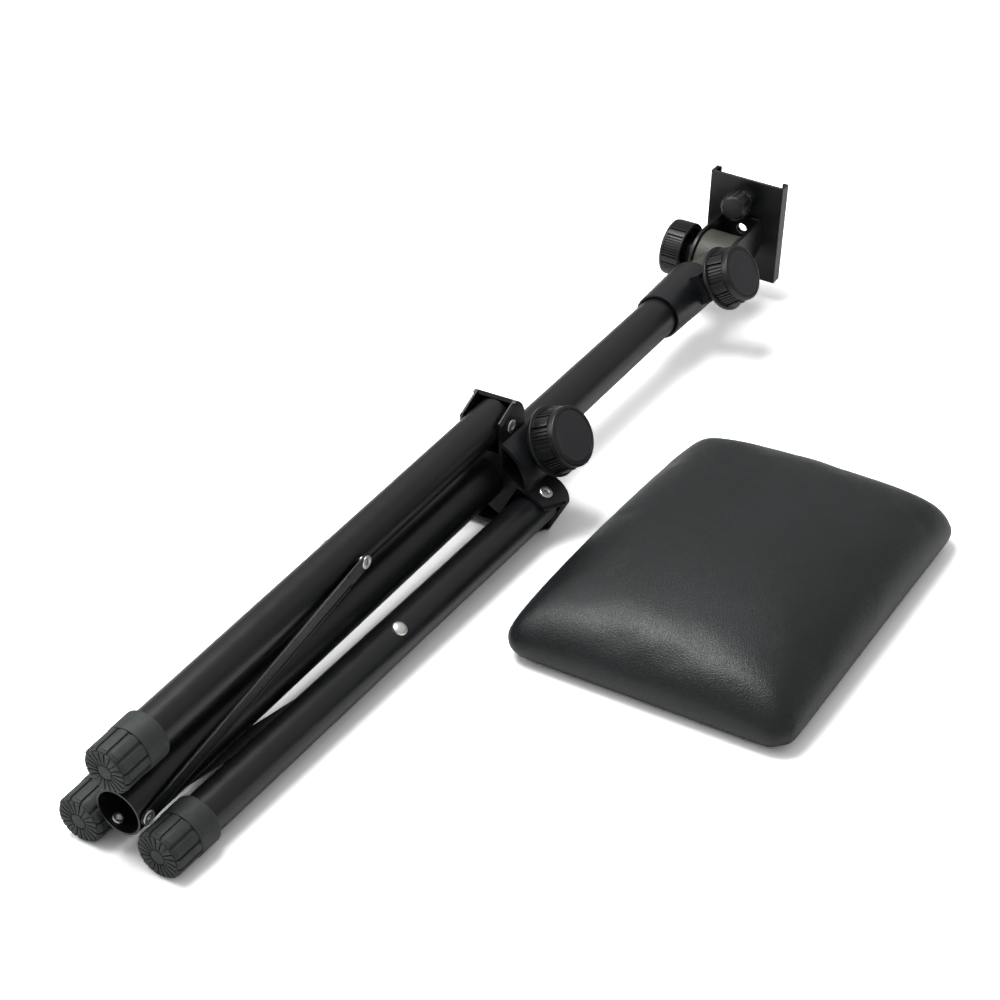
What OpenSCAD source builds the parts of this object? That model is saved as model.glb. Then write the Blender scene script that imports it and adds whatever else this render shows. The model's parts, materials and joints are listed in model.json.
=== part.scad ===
// Folding tripod arm rest stand, folded and lying on its side, with its pad beside it.
// The stand is drawn with its pole along X: foot end at zero, head towards +X,
// and is then laid on the floor by lay(). Legs sit at 0, 120 and 240 degrees round the pole.

/* [Pole] */
// Outer diameter of the pole
column_d = 28; // [26:0.5:30]
// Wall of the pole
column_wall = 1.2; // [1:0.1:1.6]
// Length of the pole
column_len = 599; // [560:1:640]
// Setback of the pole's open end from the foot faces
column_setback = 4; // [2:0.5:6]
// Outer diameter of the inner telescopic tube
inner_d = 22; // [20:0.5:23]
// Wall of the inner tube
inner_wall = 1.2; // [1:0.1:1.6]
// Length of the inner tube
inner_len = 446; // [380:1:460]
// Length of the nylon guide bush on the inner tube's lower end
guide_len = 26; // [18:1:34]

/* [Collar] */
// Length of the moulded collar
collar_len = 57; // [50:1:64]
// Length of pole that the collar grips
collar_grip = 32; // [26:1:36]
// Diameter of the collar at its foot-side rim
collar_rim_d = 32.6; // [31:0.2:34]
// Diameter of the collar at its head end
collar_end_d = 35.2; // [33:0.2:38]
// Rounding of the collar's head end
collar_round = 5; // [2:0.5:6]
// Distance of the clamp screw from the collar's head end
collar_screw_set = 13; // [11:0.5:15]
// Distance of the collar knob's underside from the pole's axis
collar_knob_base = 31; // [29:0.5:36]
// Angle of both clamp knobs above the horizontal
clamp_angle = 30; // [20:1:40]

/* [Clamp knobs] */
// Diameter of a clamp knob at its underside
knob_d = 45.2; // [42:0.2:46]
// Diameter over the ribs at their upper end
knob_top_d = 40.4; // [38:0.2:41]
// Height of a clamp knob
knob_h = 18.6; // [16:0.2:22]
// Diameter between the ribs of a clamp knob, beside its flange
knob_valley_d = 38.4; // [36:0.2:39]
// Diameter of the smooth shoulder over the ribs
knob_shoulder_d = 38.6; // [36:0.2:40]
// Height of the smooth shoulder over the ribs
knob_shoulder_h = 5; // [3.6:0.2:7]
// Diameter of the recess in a clamp knob's underside
knob_recess_d = 31.2; // [26:0.2:33]
// Diameter of the inlaid cap
knob_cap_d = 32.6; // [28:0.2:33.4]
// Thickness of the inlaid cap
knob_cap_t = 1.6; // [1:0.1:2.4]
// Number of raised pads round a knob
knob_pads = 6; // [4:1:8]
// Number of ribs between two pads
knob_ribs = 5; // [3:1:6]
// Diameter of the clamp screws
clamp_screw_d = 8; // [6:0.5:9]

/* [Hub] */
// Distance of the leg pivots from the foot faces
hub_x = 355; // [345:1:365]
// Distance of the leg pivots from the pole's axis
pivot_r = 35.5; // [34:0.5:38]
// Width over the two ears of a clevis
ear_span = 29.6; // [29:0.1:32]
// Diameter of the hub's skirt between the clevises
skirt_d = 65; // [60:1:67]
// Wall of the hub's skirt and back web
skirt_wall = 2.6; // [2:0.1:4]
// Distance from the pivots to the hub's foot-side face
hub_front = 11; // [9:0.5:13]
// Distance from the pivots to the hub's head-side end
hub_tail = 40; // [34:1:48]
// Outer diameter of the hub's sleeve
sleeve_d = 37; // [35.6:0.2:40]
// Radius of a clevis hood outside, about the pivot
hood_r = 15.8; // [15.2:0.1:18]
// Wall of a clevis hood
hood_wall = 2.4; // [1.6:0.1:3]
// Angle above the pole's direction at which a hood ends
hood_end_angle = 64; // [56:1:70]
// Height of the ears' foot-side corner above the pivot
ear_corner = 7; // [4:0.5:9]
// Distance from the pivots to the hub's clamp screw
hub_screw_set = 21; // [19:0.5:24]
// Distance of the hub knob's underside from the pole's axis
hub_knob_base = 34.6; // [33.6:0.2:38]
// Size over the corners of the captive nuts of the clamp screws
clamp_nut_d = 15; // [13:0.5:15.5]
// Height of the captive nuts
clamp_nut_h = 6.5; // [5:0.5:8]

/* [Legs] */
// Outer diameter of a leg
leg_d = 24; // [22:0.5:24.5]
// Wall of a leg
leg_wall = 1.2; // [1:0.1:1.6]
// Length of a leg behind its pivot
leg_tail = 5; // [4:0.2:5.4]
// Distance of a foot's centre from the pole's axis when folded
foot_offset = 29.5; // [29:0.5:32]
// Length of a rubber foot
foot_len = 33; // [30:1:40]
// Length of a foot's ribbed grip
foot_grip_len = 18; // [15:1:23]
// Diameter over a foot's grip pads
foot_d = 28; // [27:0.2:28.6]
// Diameter of a foot's smooth collar
foot_collar_d = 28.8; // [28:0.2:30]
// Depth of the gaps between the grip pads
foot_pad_depth = 0.9; // [0.4:0.1:1.2]
// Number of grip pads round a foot
foot_pads = 12; // [8:1:14]
// Thickness of a foot's end
foot_end_t = 4; // [3:0.5:6]
// Number of radial grooves in a foot's end face
foot_grooves = 24; // [12:1:28]

/* [Braces] */
// Distance of the brace rivet from the leg pivot
brace_mid = 154; // [140:1:165]
// Width of a brace
brace_w = 9; // [8:0.2:9.4]
// Thickness of a brace
brace_t = 1.2; // [1:0.1:1.4]
// Distance of the lower brace rivets from the pole's open end
brace_set = 5; // [4:0.5:8]
// Gap between a brace and the pole
brace_gap = 0.1; // [0.1:0.1:0.3]

/* [Head] */
// Distance of the tilt axis from the collar's head end
tilt_set = 38; // [34:0.5:42]
// Diameter of the tilt drum
drum_d = 40; // [36:0.5:41]
// Width of the tilt drum
drum_w = 26; // [24:0.5:28]
// Diameter of the drum's neck
drum_neck_d = 26; // [24:0.5:30]
// Turn of the head round the pole
head_roll = 3; // [-8:0.5:8]
// Sheet of the yoke
yoke_t = 2.4; // [2:0.1:3]
// Diameter of the yoke's ears round the tilt axis
yoke_ear_d = 42; // [40:0.5:43]
// Distance from the tilt axis to the back of the channel plate
yoke_reach = 35.5; // [34:0.5:40]
// Height of the yoke's base
yoke_base_h = 20.6; // [16:0.2:24]
// Width of the channel plate
plate_w = 57; // [52:0.5:62]
// Length of the channel plate
plate_len = 77; // [70:0.5:84]
// Sheet of the channel plate
plate_t = 2; // [1.6:0.1:2.4]
// Height of the plate's centre above the tilt axis
plate_shift = 10.6; // [6:0.2:12]
// Depth of the plate's lips
lip_depth = 7.4; // [6.8:0.2:9]
// Width of the lips' inward returns
lip_return = 4; // [2:0.2:6]
// Diameter of the hole in the plate
plate_hole_d = 7; // [5:0.5:8]
// Diameter of the tilt bolt
tilt_bolt_d = 8; // [6:0.5:9]
// Distance of the tilt knob's inner face from the pole's axis
tilt_knob_base = 23.4; // [22:0.2:26]
// Height of the tilt knob
tilt_knob_h = 16; // [15:0.2:18]
// Diameter of the tilt knob
tilt_knob_d = 41.2; // [38:0.2:44]
// Diameter of the recess in the tilt knob's inner face
tilt_recess_d = 35.2; // [30:0.2:35.6]
// Diameter of the small lock knob
lock_knob_d = 21.5; // [19:0.5:25]
// Height of the small lock knob
lock_knob_h = 12; // [9:0.5:14]
// Gap between the lock knob and the plate's back
lock_stand = 8; // [5:0.5:9]
// Height of the lock screw above the plate's centre
lock_height = 23; // [22:0.5:26]
// Diameter of the lock screw
lock_screw_d = 6; // [5:0.5:7]

/* [Pad] */
// Length of the pad along the pole
pad_len = 246; // [220:1:270]
// Width of the pad
pad_w = 185; // [165:1:205]
// Height of the cushion with its board
pad_h = 49; // [42:1:62]
// Corner radius of the pad
pad_corner = 28; // [22:1:34]
// Rounding of the cushion's upper edge
pad_round = 22.3; // [18:0.1:28]
// Height of the edge band under that rounding
pad_edge_h = 6.2; // [4:0.2:10]
// Power of the crown's fall along the pad
pad_len_power = 2.1; // [1.8:0.1:6]
// Power of the crown's fall across the pad
pad_w_power = 1.4; // [1.3:0.1:4]
// Flatness of the crown, from a dome at 1 to a flat top near 0
pad_flat_power = 0.24; // [0.2:0.01:0.5]
// Draw-in of the sides between the corners
pad_draw = 1.2; // [0:0.2:5]
// Tuck of the cover under the lower edge
pad_tuck = 5; // [3:0.5:8]
// Thickness of the pad's board
board_t = 12; // [9:0.5:15]
// Margin of the board inside the cover
board_margin = 9; // [8:0.5:14]
// Length of the slide bracket under the pad
rail_len = 90; // [80:1:120]
// Distance of the pad's centre from the foot faces
pad_x = 354; // [330:1:380]
// Distance of the pad's centre from the pole
pad_side = 168; // [162:0.5:190]
// Turn of the pad on the floor
pad_yaw = -0.4; // [-6:0.1:4]

/* [Hidden] */
$fn = 48;

// Overrun of every cut past its faces
over = 1;
// Clearance of pieces that turn, slide or fit in each other, at the radius
fit = 0.05;
// Gap between faces that lie against each other without touching
seat = 0.1;
// Degrees between two legs
leg_step = 120;

// Pole and inner tube
column_end = column_setback + column_len;
column_bore_r = column_d / 2 - column_wall;
collar_x = column_end - collar_grip;
collar_end = collar_x + collar_len;
collar_screw_x = collar_end - collar_screw_set;
drum_spigot_out = 3;
inner_end = collar_end + drum_spigot_out;
inner_x = inner_end - inner_len;
inner_bore_r = inner_d / 2 - inner_wall;
guide_set = 2;
guide_groove_w = 3;
guide_groove_depth = 0.5;

// Collar details
collar_boss_d = 19;
collar_block_w = 21;
collar_block_out = 22;
collar_block_len = 24;
collar_flute_w = 1.4;
collar_flute_set = 8;
collar_flute_depth = 0.8;
knob_seat = 0.6;
collar_lead = 1.2;

// Clamp knobs
knob_rim_h = 2.6;
knob_edge = 1.8;
knob_rib_w = 1.1;
knob_pad_w = 6.2;
knob_boss_r = 8.5;
knob_under_depth = 7;
screw_head_d = 15;
screw_head_h = 5.5;
screw_tip_gap = 0.15;
screw_tip_h = 1.5;
screw_tip_d = 5.6;

// Hub
ear_half = ear_span / 2;
clevis_play = 0.42;
clevis_half = leg_d / 2 + clevis_play;
hood_inner_r = hood_r - hood_wall;
hub_face = hub_x - hub_front;
hub_end = hub_x + hub_tail;
hub_back = hub_x + hood_r;
clevis_floor = pivot_r - hood_inner_r - over;
ear_chamfer = 2.2;
hub_boss_d = 20;
hub_rib_t = 3;
hub_screw_x = hub_x + hub_screw_set;
hub_rivet_d = 6;
hub_rivet_head_d = 8.6;
hub_rivet_head_t = 0.9;
hub_rivet_bore_d = 3.6;
hub_rivet_bore_depth = 6;

// Legs and feet
leg_slope = asin((pivot_r - foot_offset) / hub_x);
leg_reach = hub_x / cos(leg_slope);
foot_pad_w = 5.4;
foot_edge = 2.6;
foot_groove_w = 0.7;
foot_groove_depth = 0.6;
foot_disc_d = 11;
foot_lip = 1;

// Braces and their rivets
brace_low_x = column_setback + brace_set;
brace_high = [hub_x - brace_mid * cos(leg_slope), pivot_r - brace_mid * sin(leg_slope)];
brace_rise = atan2(brace_high[1], brace_high[0] - brace_low_x);
brace_len = norm([brace_high[0] - brace_low_x, brace_high[1]]);
brace_in = column_d / 2 + brace_gap;
brace_out = brace_in + brace_t;
brace_bead_w = 3;
brace_bead_t = 0.4;
brace_rivet_d = 4.4;
brace_head_d = 8;
brace_head_t = 0.9;
brace_eye_d = 2.6;
dome_d = 8.8;
dome_h = 2.4;
spacer_d = 8.4;
ring_d = 6.4;
ring_t = 0.8;
ring_seat = sqrt(pow(column_bore_r, 2) - pow(ring_d / 2, 2)) - fit;

// Head
tilt_x = collar_end + tilt_set;
drum_spigot_len = 28;
drum_edge = 1.4;
drum_seat = 0.3;
yoke_in = drum_w / 2 + 2 * seat;
yoke_out = yoke_in + yoke_t;
yoke_hole_d = plate_hole_d + 1;
plate_corner = 3;
bolt_head_d = 17;
bolt_head_h = 4;
bolt_neck_w = 8.4;
nut_af_d = 15;
nut_h = 6.5;
tilt_boss_d = 18;
tilt_under_depth = 8;
tilt_wall = 3;
tilt_ribs = 8;
tilt_shoulder_h = 3;
tilt_rib_w = 0.9;
tilt_valley_depth = 0.9;
lock_ribs = 14;
lock_rib_w = 1.4;
lock_valley_depth = 1;
lock_boss_d = 12;
lock_boss_h = 2;
lock_nut_d = 12;
lock_nut_h = 3.4;
lock_tip_gap = 0.3;
lock_side = 1;

// Pad
pad_play = 0.5;
rail_w = plate_w - 2 * plate_t - 2 * pad_play;
rail_t = 2;
rail_neck_t = plate_t + 2 * pad_play;
rail_neck_w = plate_w - 2 * lip_return - 6 * pad_play;
pad_base = rail_t + rail_neck_t;
pad_screw_d = 4;
pad_screw_head_d = 8;
pad_screw_head_t = 1.4;
pad_screw_len = 12;
pad_screw_share = 0.38;
board_corner = pad_corner - board_margin;
pad_side_steps = 6;
pad_corner_steps = 4;
pad_edge_steps = 7;
pad_full_share = 0.99;
pad_inner_shares = [0.36, 0.5, 0.66, 0.82, 0.94];

// How the stand lies: on the smooth collars of the two lower feet and on the lower hoods
rest_foot_x = foot_grip_len;
rest_foot_low = (foot_offset + rest_foot_x * sin(leg_slope)) / 2 + foot_collar_d / 2;
hood_top = [hub_x + hood_r * cos(hood_end_angle), pivot_r + hood_r * sin(hood_end_angle)];
rest_hub_low = hood_top[1] * sin(leg_step / 4) + ear_half * cos(leg_step / 4);
lie_angle = atan2(rest_hub_low - rest_foot_low, hood_top[0] - rest_foot_x);
axis_height = rest_foot_low * cos(lie_angle) - rest_foot_x * sin(lie_angle);
head_reach = tilt_x + yoke_reach + plate_t + lip_depth;
centre_x = head_reach / 2;
stand_side = hood_top[1] * cos(leg_step / 4) + ear_half * sin(leg_step / 4);
centre_y = (stand_side - pad_side - pad_w / 2) / 2;

// Points of an arc round a centre
function arc(centre, r, a0, a1, steps) =
    [for (i = [0 : steps]) centre + r * [cos(a0 + (a1 - a0) * i / steps), sin(a0 + (a1 - a0) * i / steps)]];

// Point where a line from an outer point touches a circle round zero, on the side given by +1 or -1
function touch(point, r, side) =
    let (turn = atan2(point[1], point[0]) + side * acos(r / norm(point)))
    r * [cos(turn), sin(turn)];

// Lays the stand on the floor with the origin under the middle of the whole object
module lay()
    translate([-centre_x, -centre_y, axis_height])
        rotate([0, -lie_angle, 0])
            children();

// Turns +Z towards the head end at a distance along the pole
module along(x)
    translate([x, 0, 0])
        rotate([0, 90, 0])
            children();

// Extrudes an outline in the plane of pole and leg, to both sides of that plane
module upright(width)
    rotate([90, 0, 0])
        linear_extrude(width, center = true)
            children();

// Puts a piece on leg number k, with +Z pointing away from the pole
module on_leg(k)
    lay()
        rotate([leg_step * k, 0, 0])
            children();

// Puts a piece in the frame of leg number k: pivot at zero, foot towards -X
module leg_frame(k)
    on_leg(k)
        translate([hub_x, 0, pivot_r])
            rotate([0, -leg_slope, 0])
                children();

// Puts a knob's axis along +Z, square to the pole, at the side of the clamp knobs
module clamp_side(x, distance)
    translate([x, 0, 0])
        rotate([90 - clamp_angle, 0, 0])
            translate([0, 0, distance])
                children();

// Puts the head's pieces in their frame: tilt axis along Y at zero, plate towards +X
module head_frame()
    lay()
        rotate([head_roll, 0, 0])
            translate([tilt_x, 0, 0])
                children();

module tube(length, r_out, r_in)
    difference() {
        cylinder(h = length, r = r_out);
        translate([0, 0, -over])
            cylinder(h = length + 2 * over, r = r_in);
    }

// Flat outline of a knob: a round core with raised pads and ribs between them
module rib_outline(core_r, reach, pads, pad_width, ribs, rib_width) {
    pad_turn = 2 * asin(pad_width / 2 / core_r);
    rib_turn = (360 / pads - pad_turn) / (ribs + 1);
    circle(r = core_r);
    for (i = [0 : pads - 1])
        rotate(i * 360 / pads) {
            translate([0, -pad_width / 2])
                square([reach, pad_width]);
            for (j = [1 : ribs])
                rotate(pad_turn / 2 + j * rib_turn)
                    translate([0, -rib_width / 2])
                        square([reach, rib_width]);
        }
}

// Moulded knob, underside at zero: flange, neck with ribs and pads, smooth shoulder, boss in a recess,
// a pocket for the cap and a hexagon for the screw or nut
module moulded_knob(flange_r, top_r, neck_r, shoulder_r, shoulder_h, height, ribs, rib_width,
                    recess_r, recess_h, hex_d, hex_h, bore_d)
    difference() {
        union() {
            rotate_extrude()
                polygon([
                    [0, 0], [flange_r - knob_edge / 4, 0], [flange_r, knob_edge / 4],
                    [flange_r, knob_rim_h - knob_edge / 4], [flange_r - knob_edge / 4, knob_rim_h],
                    [neck_r, knob_rim_h], [neck_r - knob_edge / 2, height - shoulder_h],
                    [shoulder_r, height - shoulder_h], [shoulder_r, height - knob_edge],
                    [shoulder_r - knob_edge / 4, height - knob_edge / 3], [shoulder_r - knob_edge, height],
                    [0, height]
                ]);
            intersection() {
                linear_extrude(height - shoulder_h)
                    rib_outline(neck_r - knob_edge / 2, flange_r, knob_pads, knob_pad_w, ribs, rib_width);
                rotate_extrude()
                    polygon([
                        [0, 0], [flange_r - knob_edge, 0], [flange_r - knob_edge, knob_rim_h],
                        [top_r, height - shoulder_h - knob_edge / 2], [top_r - knob_edge / 2, height - shoulder_h],
                        [0, height - shoulder_h]
                    ]);
            }
        }
        translate([0, 0, -over])
            tube(over + recess_h, recess_r, knob_boss_r);
        translate([0, 0, height - knob_cap_t])
            cylinder(h = knob_cap_t + over, r = knob_cap_d / 2 + fit);
        translate([0, 0, height - knob_cap_t - hex_h - seat])
            cylinder(h = hex_h + knob_cap_t, d = hex_d + 2 * seat, $fn = 6);
        translate([0, 0, -over])
            cylinder(h = height, r = bore_d / 2 + fit);
    }

module clamp_knob()
    moulded_knob(knob_d / 2, knob_top_d / 2, knob_valley_d / 2, knob_shoulder_d / 2, knob_shoulder_h,
        knob_h, knob_ribs, knob_rib_w, knob_recess_d / 2, knob_under_depth, screw_head_d, screw_head_h,
        clamp_screw_d);

module knob_cap(height)
    translate([0, 0, height - knob_cap_t])
        cylinder(h = knob_cap_t, d = knob_cap_d);

// Hexagonal pocket in the outer end of a clamp boss
module nut_pocket()
    translate([0, 0, -clamp_nut_h - seat])
        cylinder(h = clamp_nut_h + seat + over, d = clamp_nut_d + 2 * seat, $fn = 6);

module clamp_nut()
    translate([0, 0, -clamp_nut_h])
        difference() {
            cylinder(h = clamp_nut_h, d = clamp_nut_d, $fn = 6);
            translate([0, 0, -over])
                cylinder(h = clamp_nut_h + 2 * over, r = clamp_screw_d / 2 + fit);
        }

// Clamp screw in the frame of its knob, with its tip at a distance below the knob's underside
module clamp_screw(tip)
    union() {
        translate([0, 0, knob_h - knob_cap_t - screw_head_h - seat / 2])
            cylinder(h = screw_head_h, d = screw_head_d, $fn = 6);
        translate([0, 0, screw_tip_h - tip])
            cylinder(h = knob_h - knob_cap_t - screw_head_h + tip - screw_tip_h, d = clamp_screw_d);
        translate([0, 0, -tip])
            cylinder(h = screw_tip_h, d1 = screw_tip_d, d2 = clamp_screw_d);
    }

module hub_outline()
    polygon(concat(
        [[hub_back, 0], [hub_face, 0], [hub_face, pivot_r + ear_corner]],
        arc([hub_x, pivot_r], hood_r, hood_end_angle, 0, 10)));

// Space for a leg's end inside a clevis, open towards the foot and outwards
module clevis_space_outline() {
    translate([hub_x, pivot_r])
        circle(r = hood_inner_r);
    translate([hub_face - over, clevis_floor])
        square([hub_front + over, pivot_r + leg_d]);
    translate([hub_x, pivot_r])
        polygon([[0, 0], leg_d * [cos(hood_end_angle), sin(hood_end_angle)], [0, leg_d]]);
}

// Chamfer along an ear's sloping edge
module ear_edge_cut(side)
    translate([hub_face, side * ear_half, pivot_r + ear_corner])
        rotate([0, -atan2(hood_top[1] - pivot_r - ear_corner, hood_top[0] - hub_face), 0])
            rotate([45, 0, 0])
                cube([2 * hood_r + 2 * over, ear_chamfer, ear_chamfer], center = true);

module hub()
    color("#1d1e20")
        lay()
            difference() {
                union() {
                    along(hub_face)
                        cylinder(h = hub_end - hub_face, d = sleeve_d);
                    difference() {
                        along(hub_face)
                            cylinder(h = hub_back - hub_face, d = skirt_d);
                        along(hub_face - over)
                            cylinder(h = hub_back - hub_face - skirt_wall + over, d = skirt_d - 2 * skirt_wall);
                    }
                    for (k = [0 : 2])
                        rotate([leg_step * k, 0, 0])
                            upright(ear_span)
                                hub_outline();
                    clamp_side(hub_screw_x, 0)
                        cylinder(h = hub_knob_base - knob_seat, d = hub_boss_d);
                    clamp_side(hub_screw_x, 0)
                        translate([hub_back - hub_screw_x, -hub_rib_t / 2, 0])
                            cube([hub_end - hub_back, hub_rib_t, skirt_d / 2 - skirt_wall]);
                }
                for (k = [0 : 2])
                    rotate([leg_step * k, 0, 0]) {
                        upright(2 * clevis_half)
                            clevis_space_outline();
                        for (side = [-1, 1])
                            ear_edge_cut(side);
                        translate([hub_x, 0, pivot_r])
                            rotate([90, 0, 0])
                                cylinder(h = ear_span + 2 * over, r = hub_rivet_d / 2 + fit, center = true);
                    }
                along(hub_face - over)
                    cylinder(h = hub_end - hub_face + 2 * over, r = column_d / 2 + fit);
                clamp_side(hub_screw_x, 0)
                    cylinder(h = hub_knob_base + over, r = clamp_screw_d / 2 + fit);
                clamp_side(hub_screw_x, hub_knob_base - knob_seat)
                    nut_pocket();
            }

// One tubular rivet through a clevis
module hub_rivet()
    difference() {
        rotate([90, 0, 0]) {
            cylinder(h = ear_span, d = hub_rivet_d, center = true);
            for (side = [-1, 1])
                translate([0, 0, side * (ear_half + hub_rivet_head_t / 2)])
                    cylinder(h = hub_rivet_head_t, d = hub_rivet_head_d, center = true);
        }
        for (side = [-1, 1])
            translate([0, side * (ear_half + hub_rivet_head_t), 0])
                rotate([90, 0, 0])
                    cylinder(h = 2 * hub_rivet_bore_depth, d = hub_rivet_bore_d, center = true);
    }

module hub_rivets()
    color("#b9bcc0")
        for (k = [0 : 2])
            on_leg(k)
                translate([hub_x, 0, pivot_r])
                    hub_rivet();

module hub_knob()
    color("#1a1b1d")
        lay()
            clamp_side(hub_screw_x, hub_knob_base)
                clamp_knob();

module hub_knob_cap()
    color("#2a2b2d")
        lay()
            clamp_side(hub_screw_x, hub_knob_base)
                knob_cap(knob_h);

module hub_clamp_screw()
    color("#b9bcc0")
        lay()
            clamp_side(hub_screw_x, hub_knob_base)
                clamp_screw(hub_knob_base - column_d / 2 - screw_tip_gap);

module hub_clamp_nut()
    color("#b9bcc0")
        lay()
            clamp_side(hub_screw_x, hub_knob_base - knob_seat)
                clamp_nut();

module column_tube()
    color("#101113")
        lay()
            difference() {
                along(column_setback)
                    tube(column_len, column_d / 2, column_bore_r);
                for (k = [0 : 2])
                    rotate([leg_step * k, 0, 0])
                        translate([brace_low_x, 0, 0])
                            rotate([90, 0, 0])
                                cylinder(h = column_d, r = brace_rivet_d / 2 + fit);
            }

// Collar: a stepped sleeve with a rounded head end, a block and boss for the clamp screw
module column_collar()
    color("#1b1c1e")
        lay()
            difference() {
                union() {
                    along(collar_x)
                        rotate_extrude()
                            polygon(concat(
                                [[0, 0], [collar_rim_d / 2, 0],
                                 [collar_end_d / 2, collar_len - 2 * collar_round]],
                                arc([collar_end_d / 2 - collar_round, collar_len - collar_round],
                                    collar_round, 0, 90, 6),
                                [[0, collar_len]]));
                    clamp_side(collar_end - collar_block_len, 0)
                        translate([0, -collar_block_w / 2, 0])
                            cube([collar_block_len - collar_round / 2, collar_block_w, collar_block_out]);
                    clamp_side(collar_screw_x, 0)
                        cylinder(h = collar_knob_base - knob_seat, d = collar_boss_d);
                }
                along(collar_x - over)
                    cylinder(h = collar_grip + over, r = column_d / 2 + fit);
                along(collar_x - seat)
                    cylinder(h = collar_lead, r1 = column_d / 2 + collar_lead, r2 = column_d / 2);
                along(collar_x)
                    cylinder(h = collar_len + over, r = inner_d / 2 + fit);
                clamp_side(collar_screw_x, 0)
                    cylinder(h = collar_knob_base + over, r = clamp_screw_d / 2 + fit);
                clamp_side(collar_screw_x, collar_knob_base - knob_seat)
                    nut_pocket();
                for (side = [-1, 1])
                    clamp_side(collar_end - collar_block_len - over, 0)
                        translate([0, side * collar_flute_set - collar_flute_w / 2,
                                   collar_block_out - collar_flute_depth])
                            cube([collar_block_len + 2 * over, collar_flute_w, collar_boss_d]);
            }

module column_rivets()
    color("#b9bcc0")
        for (k = [0 : 2])
            on_leg(k)
                translate([brace_low_x, 0, 0])
                    rotate([90, 0, 0])
                        difference() {
                            union() {
                                translate([0, 0, ring_seat - ring_t])
                                    cylinder(h = ring_t, d = ring_d);
                                translate([0, 0, ring_seat - ring_t / 2])
                                    cylinder(h = column_d / 2 - ring_seat + ring_t / 2, d = brace_rivet_d);
                            }
                            cylinder(h = column_d, d = brace_eye_d);
                        }

module collar_knob()
    color("#1a1b1d")
        lay()
            clamp_side(collar_screw_x, collar_knob_base)
                clamp_knob();

module collar_knob_cap()
    color("#2a2b2d")
        lay()
            clamp_side(collar_screw_x, collar_knob_base)
                knob_cap(knob_h);

module collar_clamp_screw()
    color("#b9bcc0")
        lay()
            clamp_side(collar_screw_x, collar_knob_base)
                clamp_screw(collar_knob_base - inner_d / 2 - screw_tip_gap);

module collar_clamp_nut()
    color("#b9bcc0")
        lay()
            clamp_side(collar_screw_x, collar_knob_base - knob_seat)
                clamp_nut();

module guide_bush()
    color("#e6e4dc")
        lay()
            along(inner_x + guide_set)
                difference() {
                    tube(guide_len, column_bore_r - fit, inner_d / 2 + fit);
                    for (share = [1, 2])
                        translate([0, 0, guide_len * share / 3 - guide_groove_w / 2])
                            tube(guide_groove_w, column_d / 2, column_bore_r - fit - guide_groove_depth);
                }

module inner_tube()
    color("#17181a")
        lay()
            along(inner_x)
                tube(inner_len, inner_d / 2, inner_bore_r);

// Tilt drum: a round block between the yoke's ears, with a neck and a spigot in the inner tube
module tilt_drum()
    color("#4c5048")
        head_frame()
            difference() {
                union() {
                    rotate([90, 0, 0])
                        rotate_extrude()
                            polygon([
                                [0, -drum_w / 2], [drum_d / 2 - drum_edge, -drum_w / 2],
                                [drum_d / 2, drum_edge - drum_w / 2], [drum_d / 2, drum_w / 2 - drum_edge],
                                [drum_d / 2 - drum_edge, drum_w / 2], [0, drum_w / 2]
                            ]);
                    along(collar_end + drum_spigot_out + drum_seat - tilt_x)
                        cylinder(h = tilt_x - collar_end - drum_spigot_out - drum_seat, d = drum_neck_d);
                    along(collar_end + drum_spigot_out - drum_spigot_len - tilt_x)
                        cylinder(h = drum_spigot_len + drum_seat, r = inner_bore_r - fit);
                }
                rotate([90, 0, 0])
                    cylinder(h = drum_w + 2 * over, r = tilt_bolt_d / 2 + fit, center = true);
            }

// Outline of a yoke ear: a disc round the tilt axis that runs into the base by two tangents
module yoke_outline() {
    high = [yoke_reach, plate_shift + yoke_base_h / 2];
    low = [yoke_reach, plate_shift - yoke_base_h / 2];
    circle(d = yoke_ear_d);
    polygon([[0, 0], touch(low, yoke_ear_d / 2, -1), low, high, touch(high, yoke_ear_d / 2, 1)]);
}

module yoke()
    color("#131416")
        head_frame()
            difference() {
                upright(2 * yoke_out)
                    yoke_outline();
                upright(2 * yoke_in)
                    translate([-yoke_ear_d, -yoke_ear_d])
                        square([yoke_ear_d + yoke_reach - yoke_t, 2 * yoke_ear_d]);
                rotate([90, 0, 0])
                    cylinder(h = 2 * yoke_out + 2 * over, r = tilt_bolt_d / 2 + fit, center = true);
                translate([0, 0, plate_shift])
                    along(yoke_reach - yoke_t - over)
                        cylinder(h = yoke_t + 2 * over, d = yoke_hole_d);
            }

// Channel plate: a web with lips bent away from the stand and returned inwards
module channel_plate()
    color("#131416")
        head_frame()
            translate([yoke_reach, 0, plate_shift])
                difference() {
                    translate([0, -plate_w / 2, -plate_len / 2])
                        cube([plate_t + lip_depth, plate_w, plate_len]);
                    translate([plate_t, plate_t - plate_w / 2, -plate_len / 2 - over])
                        cube([lip_depth - plate_t, plate_w - 2 * plate_t, plate_len + 2 * over]);
                    translate([plate_t, lip_return - plate_w / 2, -plate_len / 2 - over])
                        cube([lip_depth + over, plate_w - 2 * lip_return, plate_len + 2 * over]);
                    along(-over)
                        cylinder(h = plate_t + 2 * over, d = plate_hole_d);
                    translate([0, lock_side, lock_height])
                        along(-over)
                            cylinder(h = plate_t + 2 * over, r = lock_screw_d / 2 + fit);
                }

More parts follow.
